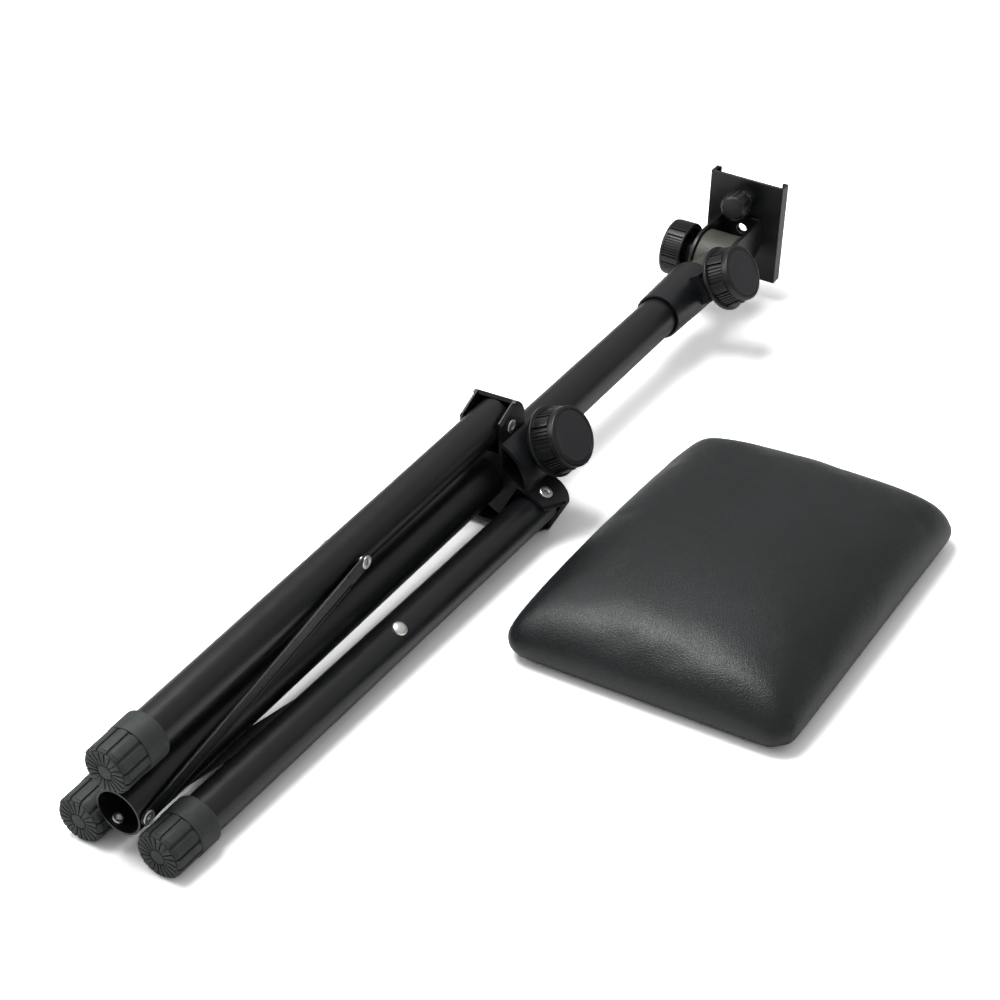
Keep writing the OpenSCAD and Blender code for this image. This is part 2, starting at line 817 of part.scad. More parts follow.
module tilt_bolt()
    color("#b9bcc0")
        head_frame()
            rotate([90, 0, 0]) {
                translate([0, 0, yoke_out])
                    rotate_extrude()
                        polygon(concat(
                            [[0, 0], [bolt_head_d / 2, 0]],
                            [for (a = [15 : 15 : 90]) [bolt_head_d / 2 * cos(a), bolt_head_h * sin(a)]]));
                translate([0, 0, -tilt_knob_base - tilt_knob_h + knob_cap_t + seat])
                    cylinder(h = yoke_out + tilt_knob_base + tilt_knob_h - knob_cap_t - seat,
                        d = tilt_bolt_d);
            }

// Puts a piece in the tilt knob's frame: underside at zero, +Z away from the head
module tilt_knob_frame()
    head_frame()
        translate([0, tilt_knob_base, 0])
            rotate([-90, 0, 0])
                children();

module tilt_knob()
    color("#1a1b1d")
        tilt_knob_frame()
            union() {
                moulded_knob(tilt_knob_d / 2, tilt_knob_d / 2 - knob_edge / 6,
                    tilt_knob_d / 2 - tilt_valley_depth, tilt_knob_d / 2 - knob_edge / 6, tilt_shoulder_h,
                    tilt_knob_h, tilt_ribs, tilt_rib_w, tilt_recess_d / 2, tilt_under_depth,
                    nut_af_d, nut_h, tilt_bolt_d);
                translate([0, 0, yoke_out + seat - tilt_knob_base])
                    tube(tilt_knob_base - yoke_out - seat + tilt_wall, tilt_boss_d / 2 - seat,
                        tilt_bolt_d / 2 + fit);
            }

module tilt_knob_cap()
    color("#2a2b2d")
        tilt_knob_frame()
            knob_cap(tilt_knob_h);

module tilt_nut()
    color("#b9bcc0")
        tilt_knob_frame()
            translate([0, 0, tilt_knob_h - knob_cap_t - nut_h - seat / 2])
                difference() {
                    cylinder(h = nut_h, d = nut_af_d, $fn = 6);
                    translate([0, 0, -over])
                        cylinder(h = nut_h + 2 * over, r = tilt_bolt_d / 2 + fit);
                }

// Puts a piece in the lock knob's frame: plate's back at zero, +Z away from the plate
module lock_frame()
    head_frame()
        translate([yoke_reach, lock_side, plate_shift + lock_height])
            rotate([0, -90, 0])
                children();

module lock_knob()
    color("#1a1b1d")
        lock_frame()
            difference() {
                union() {
                    translate([0, 0, lock_stand])
                        intersection() {
                            linear_extrude(lock_knob_h)
                                rib_outline(lock_knob_d / 2 - lock_valley_depth, lock_knob_d / 2,
                                    lock_ribs, lock_rib_w, 0, 0);
                            rotate_extrude()
                                polygon([
                                    [0, 0], [lock_knob_d / 2, 0],
                                    [lock_knob_d / 2, lock_knob_h - lock_boss_h],
                                    [lock_knob_d / 2 - lock_boss_h, lock_knob_h], [0, lock_knob_h]
                                ]);
                        }
                    translate([0, 0, lock_stand - lock_boss_h])
                        cylinder(h = lock_boss_h + over, d = lock_boss_d);
                }
                translate([0, 0, lock_stand - lock_boss_h - over])
                    cylinder(h = lock_knob_h, r = lock_screw_d / 2 + fit);
            }

module lock_screw()
    color("#b9bcc0")
        lock_frame()
            translate([0, 0, lock_tip_gap - plate_t])
                cylinder(h = lock_stand - lock_boss_h - over + lock_knob_h - lock_tip_gap + plate_t - seat,
                    d = lock_screw_d);

module lock_nut()
    color("#b9bcc0")
        lock_frame()
            translate([0, 0, seat / 2])
                difference() {
                    cylinder(h = lock_nut_h, d = lock_nut_d, $fn = 6);
                    translate([0, 0, -over])
                        cylinder(h = lock_nut_h + 2 * over, r = lock_screw_d / 2 + fit);
                }

module leg(k)
    color("#0f1012")
        leg_frame(k)
            difference() {
                along(foot_end_t + seat - leg_reach)
                    tube(leg_reach - foot_end_t - seat + leg_tail, leg_d / 2, leg_d / 2 - leg_wall);
                rotate([90, 0, 0])
                    cylinder(h = leg_d + 2 * over, r = hub_rivet_d / 2 + fit, center = true);
                translate([-brace_mid, 0, 0])
                    rotate([90, 0, 0])
                        cylinder(h = leg_d + 2 * over, r = brace_rivet_d / 2 + fit, center = true);
            }

// Rubber foot: ribbed grip, smooth collar, and an end face with radial grooves round a disc
module foot(k)
    color("#26282a")
        leg_frame(k)
            along(-leg_reach)
                difference() {
                    union() {
                        intersection() {
                            linear_extrude(foot_grip_len)
                                rib_outline(foot_d / 2 - foot_pad_depth, foot_d / 2, foot_pads, foot_pad_w, 0, 0);
                            rotate_extrude()
                                polygon(concat(
                                    [[0, 0]],
                                    arc([foot_d / 2 - foot_edge, foot_edge], foot_edge, -90, 0, 4),
                                    [[foot_d / 2, foot_grip_len], [0, foot_grip_len]]));
                        }
                        translate([0, 0, foot_grip_len])
                            cylinder(h = foot_len - foot_grip_len - foot_lip, d = foot_collar_d);
                        translate([0, 0, foot_len - foot_lip])
                            cylinder(h = foot_lip, d1 = foot_collar_d, d2 = foot_collar_d - foot_lip);
                    }
                    translate([0, 0, foot_end_t])
                        cylinder(h = foot_len, r = leg_d / 2 + fit);
                    for (i = [0 : foot_grooves - 1])
                        rotate(i * 360 / foot_grooves)
                            translate([foot_disc_d / 2, -foot_groove_w / 2, -over])
                                cube([foot_d, foot_groove_w, over + foot_groove_depth]);
                }

// Mid-leg rivet: domed head on one side; on the other a spacer, the brace's journal and a head
module leg_rivet(k)
    color("#b9bcc0")
        leg_frame(k)
            translate([-brace_mid, 0, 0])
                rotate([90, 0, 0])
                    difference() {
                        union() {
                            translate([0, 0, -leg_d / 2 - seat])
                                cylinder(h = leg_d / 2 + brace_out + 2 * seat, d = brace_rivet_d);
                            translate([0, 0, -leg_d / 2 - seat / 2])
                                mirror([0, 0, 1])
                                    rotate_extrude()
                                        polygon(concat(
                                            [[0, 0], [dome_d / 2, 0]],
                                            [for (a = [15 : 15 : 90]) [dome_d / 2 * cos(a), dome_h * sin(a)]]));
                            translate([0, 0, leg_d / 2 + seat / 2])
                                cylinder(h = brace_in - leg_d / 2 - seat, d = spacer_d);
                            translate([0, 0, brace_out + seat / 2])
                                cylinder(h = brace_head_t, d = brace_head_d);
                        }
                        translate([0, 0, brace_in - leg_d / 4])
                            cylinder(h = leg_d, d = brace_eye_d);
                    }

// Brace on its side of leg k, lower rivet at zero and upper rivet towards +X
module brace_frame(k)
    on_leg(k)
        translate([brace_low_x, 0, 0])
            rotate([0, -brace_rise, 0])
                children();

module brace(k)
    color("#141517")
        brace_frame(k)
            difference() {
                translate([0, -brace_in, 0])
                    rotate([90, 0, 0]) {
                        linear_extrude(brace_t) {
                            circle(d = brace_w);
                            translate([brace_len, 0])
                                circle(d = brace_w);
                            translate([0, -brace_w / 2])
                                square([brace_len, brace_w]);
                        }
                        linear_extrude(brace_t + brace_bead_t) {
                            translate([brace_w, -brace_bead_w / 2])
                                square([brace_len - 2 * brace_w, brace_bead_w]);
                        }
                    }
                for (x = [0, brace_len])
                    translate([x, -brace_in, 0])
                        rotate([90, 0, 0])
                            translate([0, 0, -over])
                                cylinder(h = brace_t + 2 * over, r = brace_rivet_d / 2 + fit);
            }

// Eyelet that lines a brace's lower hole
module eyelet(k)
    color("#b9bcc0")
        brace_frame(k)
            translate([0, -brace_in, 0])
                rotate([90, 0, 0])
                    difference() {
                        union() {
                            cylinder(h = brace_t + seat, d = brace_rivet_d);
                            translate([0, 0, brace_t + seat / 2])
                                cylinder(h = brace_head_t, d = brace_head_d);
                        }
                        translate([0, 0, -over])
                            cylinder(h = brace_t + 2 * brace_head_t + over, d = brace_eye_d);
                    }

// Puts the pad's pieces beside the stand, with the floor at zero
module pad_frame()
    translate([pad_x * cos(lie_angle) - centre_x, -pad_side - centre_y, 0])
        rotate([0, 0, pad_yaw])
            children();

// Outline of a rounded rectangle with its sides drawn in between the corners
function pad_ring(inset) =
    let (
        r = max(pad_corner - inset, pad_corner / 8),
        half_l = pad_len / 2 - inset,
        half_w = pad_w / 2 - inset,
        corners = [[1, 1, 0], [-1, 1, 90], [-1, -1, 180], [1, -1, 270]],
        round_points = [
            for (c = corners, i = [0 : pad_corner_steps])
                [c[0] * (half_l - r) + r * cos(c[2] + 90 * i / pad_corner_steps),
                 c[1] * (half_w - r) + r * sin(c[2] + 90 * i / pad_corner_steps)]
        ],
        count = len(round_points),
        full = [
            for (i = [0 : count - 1], j = [0 : (i % (pad_corner_steps + 1)) == pad_corner_steps
                ? pad_side_steps - 1 : 0])
                round_points[i] + (round_points[(i + 1) % count] - round_points[i]) * j / pad_side_steps
        ]
    )
    [for (p = full) [
        p[0] - sign(p[0]) * pad_draw * max(0, 1 - pow(p[1] / (half_w - r / 2), 2)) * drawn(p[0], half_l),
        p[1] - sign(p[1]) * pad_draw * max(0, 1 - pow(p[0] / (half_l - r / 2), 2)) * drawn(p[1], half_w)
    ]];

// One at an edge, falling to zero away from it
function drawn(value, half) = max(0, 1 - (half - abs(value)) / pad_corner);

// Share of the cushion's full height over a point, falling to the edges
function crown(p) = pow(
    (1 - pow(2 * pad_full_share * abs(p[0]) / pad_len, pad_len_power))
    * (1 - pow(2 * pad_full_share * abs(p[1]) / pad_w, pad_w_power)), pad_flat_power);

function pad_level(inset, height_share) =
    [for (p = pad_ring(inset)) [p[0], p[1], pad_edge_h + (pad_h - pad_edge_h) * crown(p) * height_share]];

module pad_cushion() {
    lower = [
        for (a = [0 : 90 / pad_corner_steps : 90])
            [for (p = pad_ring(pad_tuck * (1 - sin(a)))) [p[0], p[1], pad_edge_h * (1 - cos(a))]]
    ];
    upper = [
        for (i = [1 : pad_edge_steps])
            pad_level(pad_round * (1 - cos(90 * i / pad_edge_steps)), sin(90 * i / pad_edge_steps))
    ];
    inner = [for (share = pad_inner_shares) pad_level(share * pad_w / 2, 1)];
    rings = concat(lower, upper, inner);
    n = len(rings[0]);
    levels = len(rings);
    points = concat([for (ring = rings, p = ring) p], [[0, 0, pad_h]]);
    sides = [
        for (i = [0 : levels - 2], k = [0 : n - 1], half = [0, 1])
            let (a = i * n + k, b = i * n + (k + 1) % n, c = a + n, d = b + n)
            half == 0 ? [a, c, d] : [a, d, b]
    ];
    top = [for (k = [0 : n - 1]) [(levels - 1) * n + k, levels * n, (levels - 1) * n + (k + 1) % n]];
    base = [[for (k = [0 : n - 1]) k]];
    color("#15171a")
        pad_frame()
            translate([0, 0, pad_base])
                difference() {
                    polyhedron(points = points, faces = concat(sides, top, base), convexity = 4);
                    translate([0, 0, -over])
                        linear_extrude(board_t + over + seat)
                            board_outline(seat);
                }
}

module board_outline(extra)
    for (turn = [0, 1])
        for (x = [-1, 1], y = [-1, 1]) {
            translate([x * (pad_len / 2 - board_margin - board_corner),
                       y * (pad_w / 2 - board_margin - board_corner)])
                circle(r = board_corner + extra);
            square([pad_len - 2 * board_margin - (turn == 0 ? 2 * board_corner : 0) + (turn == 0 ? 0 : 2 * extra),
                    pad_w - 2 * board_margin - (turn == 1 ? 2 * board_corner : 0) + (turn == 1 ? 0 : 2 * extra)],
                center = true);
        }

// Places of the bracket's screws
pad_screw_places = [for (x = [-1, 1], y = [-1, 1]) [x * rail_len * pad_screw_share, y * rail_neck_w / 4]];

module pad_board()
    color("#b08d5b")
        pad_frame()
            translate([0, 0, pad_base])
                difference() {
                    linear_extrude(board_t)
                        board_outline(0);
                    for (p = pad_screw_places)
                        translate([p[0], p[1], -over])
                            cylinder(h = pad_screw_len - pad_base + over, r = pad_screw_d / 2 + fit);
                }

// Slide bracket: a plate that runs in the channel, on a narrower strip
module pad_bracket()
    color("#131416")
        pad_frame()
            difference() {
                union() {
                    translate([-rail_len / 2, -rail_w / 2, 0])
                        cube([rail_len, rail_w, rail_t]);
                    translate([-rail_len / 2, -rail_neck_w / 2, rail_t])
                        cube([rail_len, rail_neck_w, rail_neck_t]);
                }
                for (p = pad_screw_places) {
                    translate([p[0], p[1], -over])
                        cylinder(h = pad_base + 2 * over, r = pad_screw_d / 2 + fit);
                    translate([p[0], p[1], -over])
                        cylinder(h = over + pad_screw_head_t + fit, r = pad_screw_head_d / 2 + fit);
                }
            }

module pad_screws()
    color("#b9bcc0")
        pad_frame()
            for (p = pad_screw_places)
                translate([p[0], p[1], fit]) {
                    cylinder(h = pad_screw_head_t - fit, d = pad_screw_head_d);
                    cylinder(h = pad_screw_len - 2 * fit, d = pad_screw_d);
                }

module leg_top() leg(0);
module leg_right() leg(1);
module leg_left() leg(2);
module foot_top() foot(0);
module foot_right() foot(1);
module foot_left() foot(2);
module rivet_top() leg_rivet(0);
module rivet_right() leg_rivet(1);
module rivet_left() leg_rivet(2);
module brace_top() brace(0);
module brace_right() brace(1);
module brace_left() brace(2);
module eyelet_top() eyelet(0);
module eyelet_right() eyelet(1);
module eyelet_left() eyelet(2);

hub();
hub_rivets();
hub_knob();
hub_knob_cap();
hub_clamp_screw();
hub_clamp_nut();
column_tube();
column_collar();
column_rivets();
collar_knob();
collar_knob_cap();
collar_clamp_screw();
collar_clamp_nut();
guide_bush();
inner_tube();
tilt_drum();
yoke();
channel_plate();
tilt_bolt();
tilt_knob();
tilt_knob_cap();
tilt_nut();
lock_knob();
lock_screw();
lock_nut();
leg_top();
leg_right();
leg_left();
foot_top();
foot_right();
foot_left();
rivet_top();
rivet_right();
rivet_left();
brace_top();
brace_right();
brace_left();
eyelet_top();
eyelet_right();
eyelet_left();
pad_cushion();
pad_board();
pad_bracket();
pad_screws();
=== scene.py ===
"""Folding tripod arm rest stand, folded on its side, with its leatherette pad beside it.

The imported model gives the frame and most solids. This script dresses them: it replaces knobs, feet,
fittings and the pad with finer pieces, and gives every surface its finish.
"""

import json
import logging
from dataclasses import dataclass
from enum import Enum
from functools import cache
from math import asin, atan2, copysign, cos, hypot, pi, radians, sin, sqrt, tan
from typing import Any, Sequence

import bmesh
import bpy
from mathutils import Matrix, Vector, noise


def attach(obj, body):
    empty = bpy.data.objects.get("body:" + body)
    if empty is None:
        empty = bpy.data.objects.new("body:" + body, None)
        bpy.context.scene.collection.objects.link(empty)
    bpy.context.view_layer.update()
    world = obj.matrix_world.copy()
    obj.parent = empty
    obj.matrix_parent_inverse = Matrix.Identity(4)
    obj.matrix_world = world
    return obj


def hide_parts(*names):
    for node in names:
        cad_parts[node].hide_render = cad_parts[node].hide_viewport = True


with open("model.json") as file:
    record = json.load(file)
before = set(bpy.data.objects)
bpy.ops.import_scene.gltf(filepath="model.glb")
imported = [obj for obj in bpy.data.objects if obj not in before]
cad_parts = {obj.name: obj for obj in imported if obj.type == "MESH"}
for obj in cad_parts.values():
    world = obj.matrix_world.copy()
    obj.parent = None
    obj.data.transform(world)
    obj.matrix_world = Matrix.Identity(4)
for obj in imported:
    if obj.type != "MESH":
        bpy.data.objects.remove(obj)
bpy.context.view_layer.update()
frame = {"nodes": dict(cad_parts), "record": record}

LOG = logging.getLogger("arm_rest")
MM = 0.001
SHARP = radians(34)
HERE = Matrix.Identity(4)
METRES, MILLIMETRES = Matrix.Scale(MM, 4), Matrix.Scale(1 / MM, 4)
QUARTER = Matrix.Rotation(pi / 2, 4, "X")
WHITE = (1, 1, 1, 1)

Tree, Node = bpy.types.NodeTree, bpy.types.Node
Piece, Mesh, Shape = bpy.types.Object, bpy.types.Mesh, bmesh.types.BMesh
Socket = Any  # a node's socket, or a plain value for it
Pair = tuple[float, float]
Triple = tuple[float, float, float]


def move(x: float, y: float = 0.0, z: float = 0.0) -> Matrix:
    """Matrix of a shift."""
    return Matrix.Translation((x, y, z))


def spin(angle: float, axis: str) -> Matrix:
    """Matrix of a turn in radians."""
    return Matrix.Rotation(angle, 4, axis)


class Side(Enum):
    """Places of the three legs round the pole, as the number of third turns from the top."""

    TOP = 0
    RIGHT = 1
    LEFT = 2

    @property
    def word(self) -> str:
        """The side's word in node and body names."""
        return self.name.lower()


# ---- sizes and places


@dataclass(frozen=True)
class Layout:
    """Sizes in millimetres that place the pieces, as they are in the imported solids."""

    clamp_angle: float = 30.0
    hub_x: float = 355.0
    pivot_r: float = 35.5
    ear_span: float = 29.6
    hood_r: float = 15.8
    hood_end: float = 64.0
    hub_screw_set: float = 21.0
    hub_knob_base: float = 34.6
    collar_end: float = 628.0
    collar_screw_set: float = 13.0
    collar_knob_base: float = 31.0
    tilt_set: float = 38.0
    head_roll: float = 3.0
    yoke_reach: float = 35.5
    plate_t: float = 2.0
    lip_depth: float = 7.4
    plate_shift: float = 10.6
    tilt_knob_base: float = 23.4
    lock_height: float = 23.0
    lock_side: float = 1.0
    foot_offset: float = 29.5
    foot_grip: float = 18.0
    foot_collar_r: float = 14.4
    brace_mid: float = 154.0
    brace_low_x: float = 9.0
    brace_t: float = 1.2
    brace_gap: float = 0.1
    column_r: float = 14.0
    column_wall: float = 1.2
    pad_x: float = 354.0
    pad_side: float = 168.0
    pad_w: float = 185.0
    pad_yaw: float = -0.4

    @property
    def leg_slope(self) -> float:
        """Lean of a folded leg towards the pole, in radians."""
        return asin((self.pivot_r - self.foot_offset) / self.hub_x)

    @property
    def tilt_x(self) -> float:
        """Distance of the tilt axis from the foot faces."""
        return self.collar_end + self.tilt_set

    @property
    def brace_low(self) -> float:
        """Distance of a brace's inner face from the pole's middle."""
        return self.column_r + self.brace_gap

    def lay(self) -> Matrix:
        """Lays the stand on the floor, with the origin under the whole object's middle.

        Returns:
            The matrix from the stand's own axes to the object's.
        """
        rest_x = self.foot_grip
        rest_low = (self.foot_offset + rest_x * sin(self.leg_slope)) / 2 + self.foot_collar_r
        end = radians(self.hood_end)
        top = (self.hub_x + self.hood_r * cos(end), self.pivot_r + self.hood_r * sin(end))
        sin_third, cos_third = 0.5, sqrt(0.75)
        hub_low = top[1] * sin_third + self.ear_span / 2 * cos_third
        lie = atan2(hub_low - rest_low, top[0] - rest_x)
        height = rest_low * cos(lie) - rest_x * sin(lie)
        reach = self.tilt_x + self.yoke_reach + self.plate_t + self.lip_depth
        side = top[1] * cos_third + self.ear_span / 2 * sin_third
        centre_y = (side - self.pad_side - self.pad_w / 2) / 2
        return move(-reach / 2, -centre_y, height) @ spin(-lie, "Y")

    def on_leg(self, side: Side) -> Matrix:
        """Frame of a leg's side of the pole, with +Z pointing away from the pole."""
        return self.lay() @ spin(radians(120 * side.value), "X")

    def leg(self, side: Side) -> Matrix:
        """Frame of a leg: its pivot at zero and its foot towards -X."""
        return self.on_leg(side) @ move(self.hub_x, 0, self.pivot_r) @ spin(-self.leg_slope, "Y")

    def clamp(self, x: float, distance: float) -> Matrix:
        """Frame with +Z along a clamp knob's axis, square to the pole."""
        turn = spin(radians(90 - self.clamp_angle), "X")
        return self.lay() @ move(x) @ turn @ move(0, 0, distance)

    def head(self) -> Matrix:
        """Frame of the head: tilt axis along Y at zero, plate towards +X."""
        return self.lay() @ spin(radians(self.head_roll), "X") @ move(self.tilt_x)

    def tilt_knob(self) -> Matrix:
        """Frame of the tilt knob: underside at zero, +Z away from the head."""
        return self.head() @ move(0, self.tilt_knob_base) @ QUARTER.inverted()

    def lock(self) -> Matrix:
        """Frame of the lock screw: plate's back at zero, +Z away from the plate."""
        screw = move(self.yoke_reach, self.lock_side, self.plate_shift + self.lock_height)
        return self.head() @ screw @ spin(-pi / 2, "Y")

    def pad(self) -> Matrix:
        """Frame of the pad, on the floor beside the stand."""
        lay = self.lay()
        x = self.pad_x * lay[0][0] + lay[0][3]
        return move(x, lay[1][3] - self.pad_side) @ spin(radians(self.pad_yaw), "Z")


LAYOUT = Layout()

# ---- finishes


def linear(code: str) -> tuple[float, float, float, float]:
    """Turns an sRGB hex colour into linear values.

    Args:
        code: A hash and six hex digits.

    Returns:
        Linear red, green, blue and an alpha of one.
    """
    shares = [int(code[i:i + 2], 16) / 255 for i in (1, 3, 5)]
    red, green, blue = (s / 12.92 if s <= 0.04045 else ((s + 0.055) / 1.055) ** 2.4 for s in shares)
    return (red, green, blue, 1.0)


def add_node(tree: Tree, kind: str, links: dict[Any, Any] | None = None, **settings: Any) -> Node:
    """Adds a node with its settings, and links or sets its inputs.

    Args:
        tree: The node tree.
        kind: The node's type name, where a shader's node leaves out the words ShaderNode.
        links: Input name or index, with a socket to link or a value to set.
        settings: The node's properties.

    Returns:
        The new node.
    """
    node = tree.nodes.new(kind if kind.startswith(("Geometry", "NodeGroup")) else "ShaderNode" + kind)
    for key, value in settings.items():
        setattr(node, key, value)
    for key, value in (links or {}).items():
        socket = node.inputs[key]
        if isinstance(value, bpy.types.NodeSocket):
            tree.links.new(value, socket)
        else:
            socket.default_value = value
    return node


def blank(owner: bpy.types.Material | bpy.types.World) -> Tree:
    """Gives a material or the world an empty node tree."""
    owner.use_nodes = True
    owner.node_tree.nodes.clear()
    return owner.node_tree


def calc(tree: Tree, operation: str, first: Socket, second: Socket = 0.0) -> Socket:
    """Result of a math operation on two values."""
    return add_node(tree, "Math", {0: first, 1: second}, operation=operation).outputs["Value"]


def ramp(tree: Tree, value: Socket, start: float, first: str, end: float, second: str) -> Socket:
    """Colour that changes with a value.

    Args:
        tree: The node tree.
        value: The value.
        start: Value that has the first colour.
        first: First hex colour.
        end: Value that has the second colour.
        second: Second hex colour.

    Returns:
        The colour's socket.
    """
    node = add_node(tree, "ValToRGB", {"Fac": value})
    for stop, (where, code) in zip(node.color_ramp.elements, ((start, first), (end, second))):
        stop.position, stop.color = where, linear(code)
    return node.outputs["Color"]


@dataclass(frozen=True)
class Finish:
    """A surface finish: colour, gloss and the relief of how it was made."""

    name: str
    slot: str
    colour: str
    second: str
    roughness: float
    spread: float = 0.05
    metallic: float = 0.0
    ior: float = 1.5
    relief_mm: float = 0.8
    height_mm: float = 0.01
    patch_mm: float = 30.0

    @cache
    def material(self) -> bpy.types.Material:
        """Makes the finish's material with its own nodes, once.

        Returns:
            The material.
        """
        mat = bpy.data.materials.new(self.name)
        tree = blank(mat)
        coords = add_node(tree, "TexCoord").outputs["Object"]
        shader = add_node(tree, "BsdfPrincipled")
        shader.inputs["Metallic"].default_value = self.metallic
        if self.metallic < 0.5:
            shader.inputs["IOR"].default_value = self.ior
        self.dress(tree, coords, shader)
        add_node(tree, "OutputMaterial", {"Surface": shader.outputs["BSDF"]})
        return mat

    def noise(self, tree: Tree, coords: Socket, size_mm: float, detail: float = 3.0) -> Socket:
        """Noise whose features are about a size in millimetres, with some finer octaves."""
        node = add_node(tree, "TexNoise", {"Vector": coords, "Scale": 1 / (size_mm * MM), "Detail": detail})
        return node.outputs["Fac"]

    def tint(self, tree: Tree, coords: Socket, shader: Node) -> None:
        """Mixes the two colours in soft patches, with gloss that varies a little.

        Args:
            tree: The node tree.
            coords: Coordinates in metres.
            shader: The principled shader.
        """
        patch = self.noise(tree, coords, self.patch_mm, 4.0)
        tree.links.new(ramp(tree, patch, 0.36, self.colour, 0.66, self.second), shader.inputs["Base Color"])
        gloss = add_node(tree, "MapRange", {
            "Value": self.noise(tree, coords, self.patch_mm / 5, 5.0), "From Min": 0.3, "From Max": 0.7,
            "To Min": self.roughness - self.spread, "To Max": self.roughness + self.spread})
        tree.links.new(gloss.outputs["Result"], shader.inputs["Roughness"])

    def bump(self, tree: Tree, height: Socket, size_mm: float, normal: Socket = None) -> Socket:
        """Normal bumped by a height of zero to one, with the millimetres that one stands for."""
        links = {"Height": height, "Distance": size_mm * MM, "Strength": 1.0}
        return add_node(tree, "Bump", links | ({"Normal": normal} if normal else {})).outputs["Normal"]

    def dress(self, tree: Tree, coords: Socket, shader: Node) -> None:
        """Colour, gloss and fine relief of this finish, with the same arguments as tint."""
        self.tint(tree, coords, shader)
        relief = self.noise(tree, coords, self.relief_mm, 2.0)
        tree.links.new(self.bump(tree, relief, self.height_mm), shader.inputs["Normal"])


@dataclass(frozen=True)
class BirchPlywood(Finish):
    """Birch plywood: pale face veneer with long fine grain and dark glue lines at the edge."""

    grain_mm: float = 3.0
    ply_mm: float = 1.4

    def dress(self, tree: Tree, coords: Socket, shader: Node) -> None:
        """Long grain along X on the faces, and ply bands by height at the edges."""
        stretch = add_node(tree, "Mapping", {"Vector": coords, "Scale": (0.08, 1.0, 1.0)})
        grain = self.noise(tree, stretch.outputs["Vector"], self.grain_mm, 6.0)
        bands = add_node(tree, "TexWave", {
            "Vector": coords, "Scale": 1 / (self.ply_mm * MM) / 20, "Distortion": 0.4, "Detail": 1.0},
            bands_direction="Z")
        mix = calc(tree, "MULTIPLY", grain, bands.outputs["Fac"])
        tree.links.new(ramp(tree, mix, 0.1, self.second, 0.5, self.colour), shader.inputs["Base Color"])
        shader.inputs["Roughness"].default_value = self.roughness
        tree.links.new(self.bump(tree, grain, 0.05), shader.inputs["Normal"])


@dataclass(frozen=True)
class Leatherette(Finish):
    """Embossed black leatherette: vinyl skin with pebbles between fine valleys, and a soft gloss."""

    pebble_mm: float = 1.6
    pebble_height_mm: float = 0.06
    broad_mm: float = 24.0
    broad_height_mm: float = 0.12

    def dress(self, tree: Tree, coords: Socket, shader: Node) -> None:
        """Pebbles from cells whose edges are the valleys, bent by noise, over broad soft unevenness."""
        self.tint(tree, coords, shader)
        wobble = add_node(tree, "TexNoise", {
            "Vector": coords, "Scale": 1 / (2.4 * self.pebble_mm * MM), "Detail": 2.0})
        vector = "VectorMath"
        bend = add_node(tree, vector, {0: wobble.outputs["Color"], 1: (0.5, 0.5, 0.5)}, operation="SUBTRACT")
        shift = add_node(tree, vector, {0: bend.outputs[0], "Scale": 0.9 * self.pebble_mm * MM}, operation="SCALE")
        moved = add_node(tree, vector, {0: coords, 1: shift.outputs[0]}, operation="ADD")
        heights = []
        for size, weight in ((self.pebble_mm, 1.0), (self.pebble_mm * 0.55, 0.35)):
            cells = add_node(tree, "TexVoronoi", {
                "Vector": moved.outputs["Vector"], "Scale": 1 / (size * MM)}, feature="DISTANCE_TO_EDGE")
            step = add_node(tree, "MapRange", {
                "Value": cells.outputs["Distance"], "From Min": 0.0, "From Max": 0.22,
                "To Min": 0.0, "To Max": weight}, interpolation_type="SMOOTHSTEP")
            heights.append(step.outputs["Result"])
        broad = self.bump(tree, self.noise(tree, coords, self.broad_mm, 2.0), self.broad_height_mm)
        fine = self.bump(tree, calc(tree, "ADD", *heights), self.pebble_height_mm, broad)
        tree.links.new(fine, shader.inputs["Normal"])


# Satin black powder coat on steel: baked paint with a faint orange peel.
POWDER = Finish("powder_coated_steel", "black_steel", "#0c0d0f", "#101113", 0.34, 0.04,
                relief_mm=1.6, height_mm=0.02, patch_mm=45.0)
# Glass-filled black nylon: spark-eroded mould skin, so a fine grain and a broad sheen.
NYLON = Finish("moulded_nylon", "black_nylon", "#121315", "#17181b", 0.37,
               relief_mm=0.5, height_mm=0.02, patch_mm=18.0)
# Smooth satin cap, a little paler because its grain scatters the light.
INLAY = Finish("inlay_nylon", "knob_inlay", "#222326", "#27282b", 0.5, 0.04,
               relief_mm=0.4, height_mm=0.015, patch_mm=18.0)
# Moulded rubber: matte, slightly bloomed dark grey.
RUBBER = Finish("moulded_rubber", "foot_rubber", "#252a29", "#2e3332", 0.6, 0.08,
                relief_mm=0.6, height_mm=0.03, patch_mm=12.0)
# Grey-green moulded plastic of the tilt drum: dull, with a fine mould skin.
DRUM = Finish("grey_green_plastic", "drum_plastic", "#3b3d36", "#44463e", 0.48,
              relief_mm=0.5, height_mm=0.02, patch_mm=9.0)
# Undyed nylon of the guide bush: waxy off-white.
BUSH = Finish("natural_nylon", "white_nylon", "#e2dfd4", "#d8d4c7", 0.45, patch_mm=8.0)
# Bright zinc plating: bluish metal with fine tumbling marks.
ZINC = Finish("zinc_plate", "zinc", "#ccced1", "#dcdedf", 0.38, 0.06, 1.0,
              relief_mm=0.35, height_mm=0.008, patch_mm=4.0)
# Bright nickel plating of the rivets: a warm white metal, lightly hazed.
NICKEL = Finish("nickel_plate", "zinc", "#e9e7e2", "#f2f1ee", 0.36, 0.04, 1.0,
                relief_mm=1.2, height_mm=0.004, patch_mm=6.0)
PLY = BirchPlywood("birch_plywood", "plywood", "#c09a66", "#a97f4c", 0.62)
LEATHER = Leatherette("pebbled_leatherette", "leatherette", "#0f1314", "#151a1b", 0.385, 0.02, patch_mm=60.0)

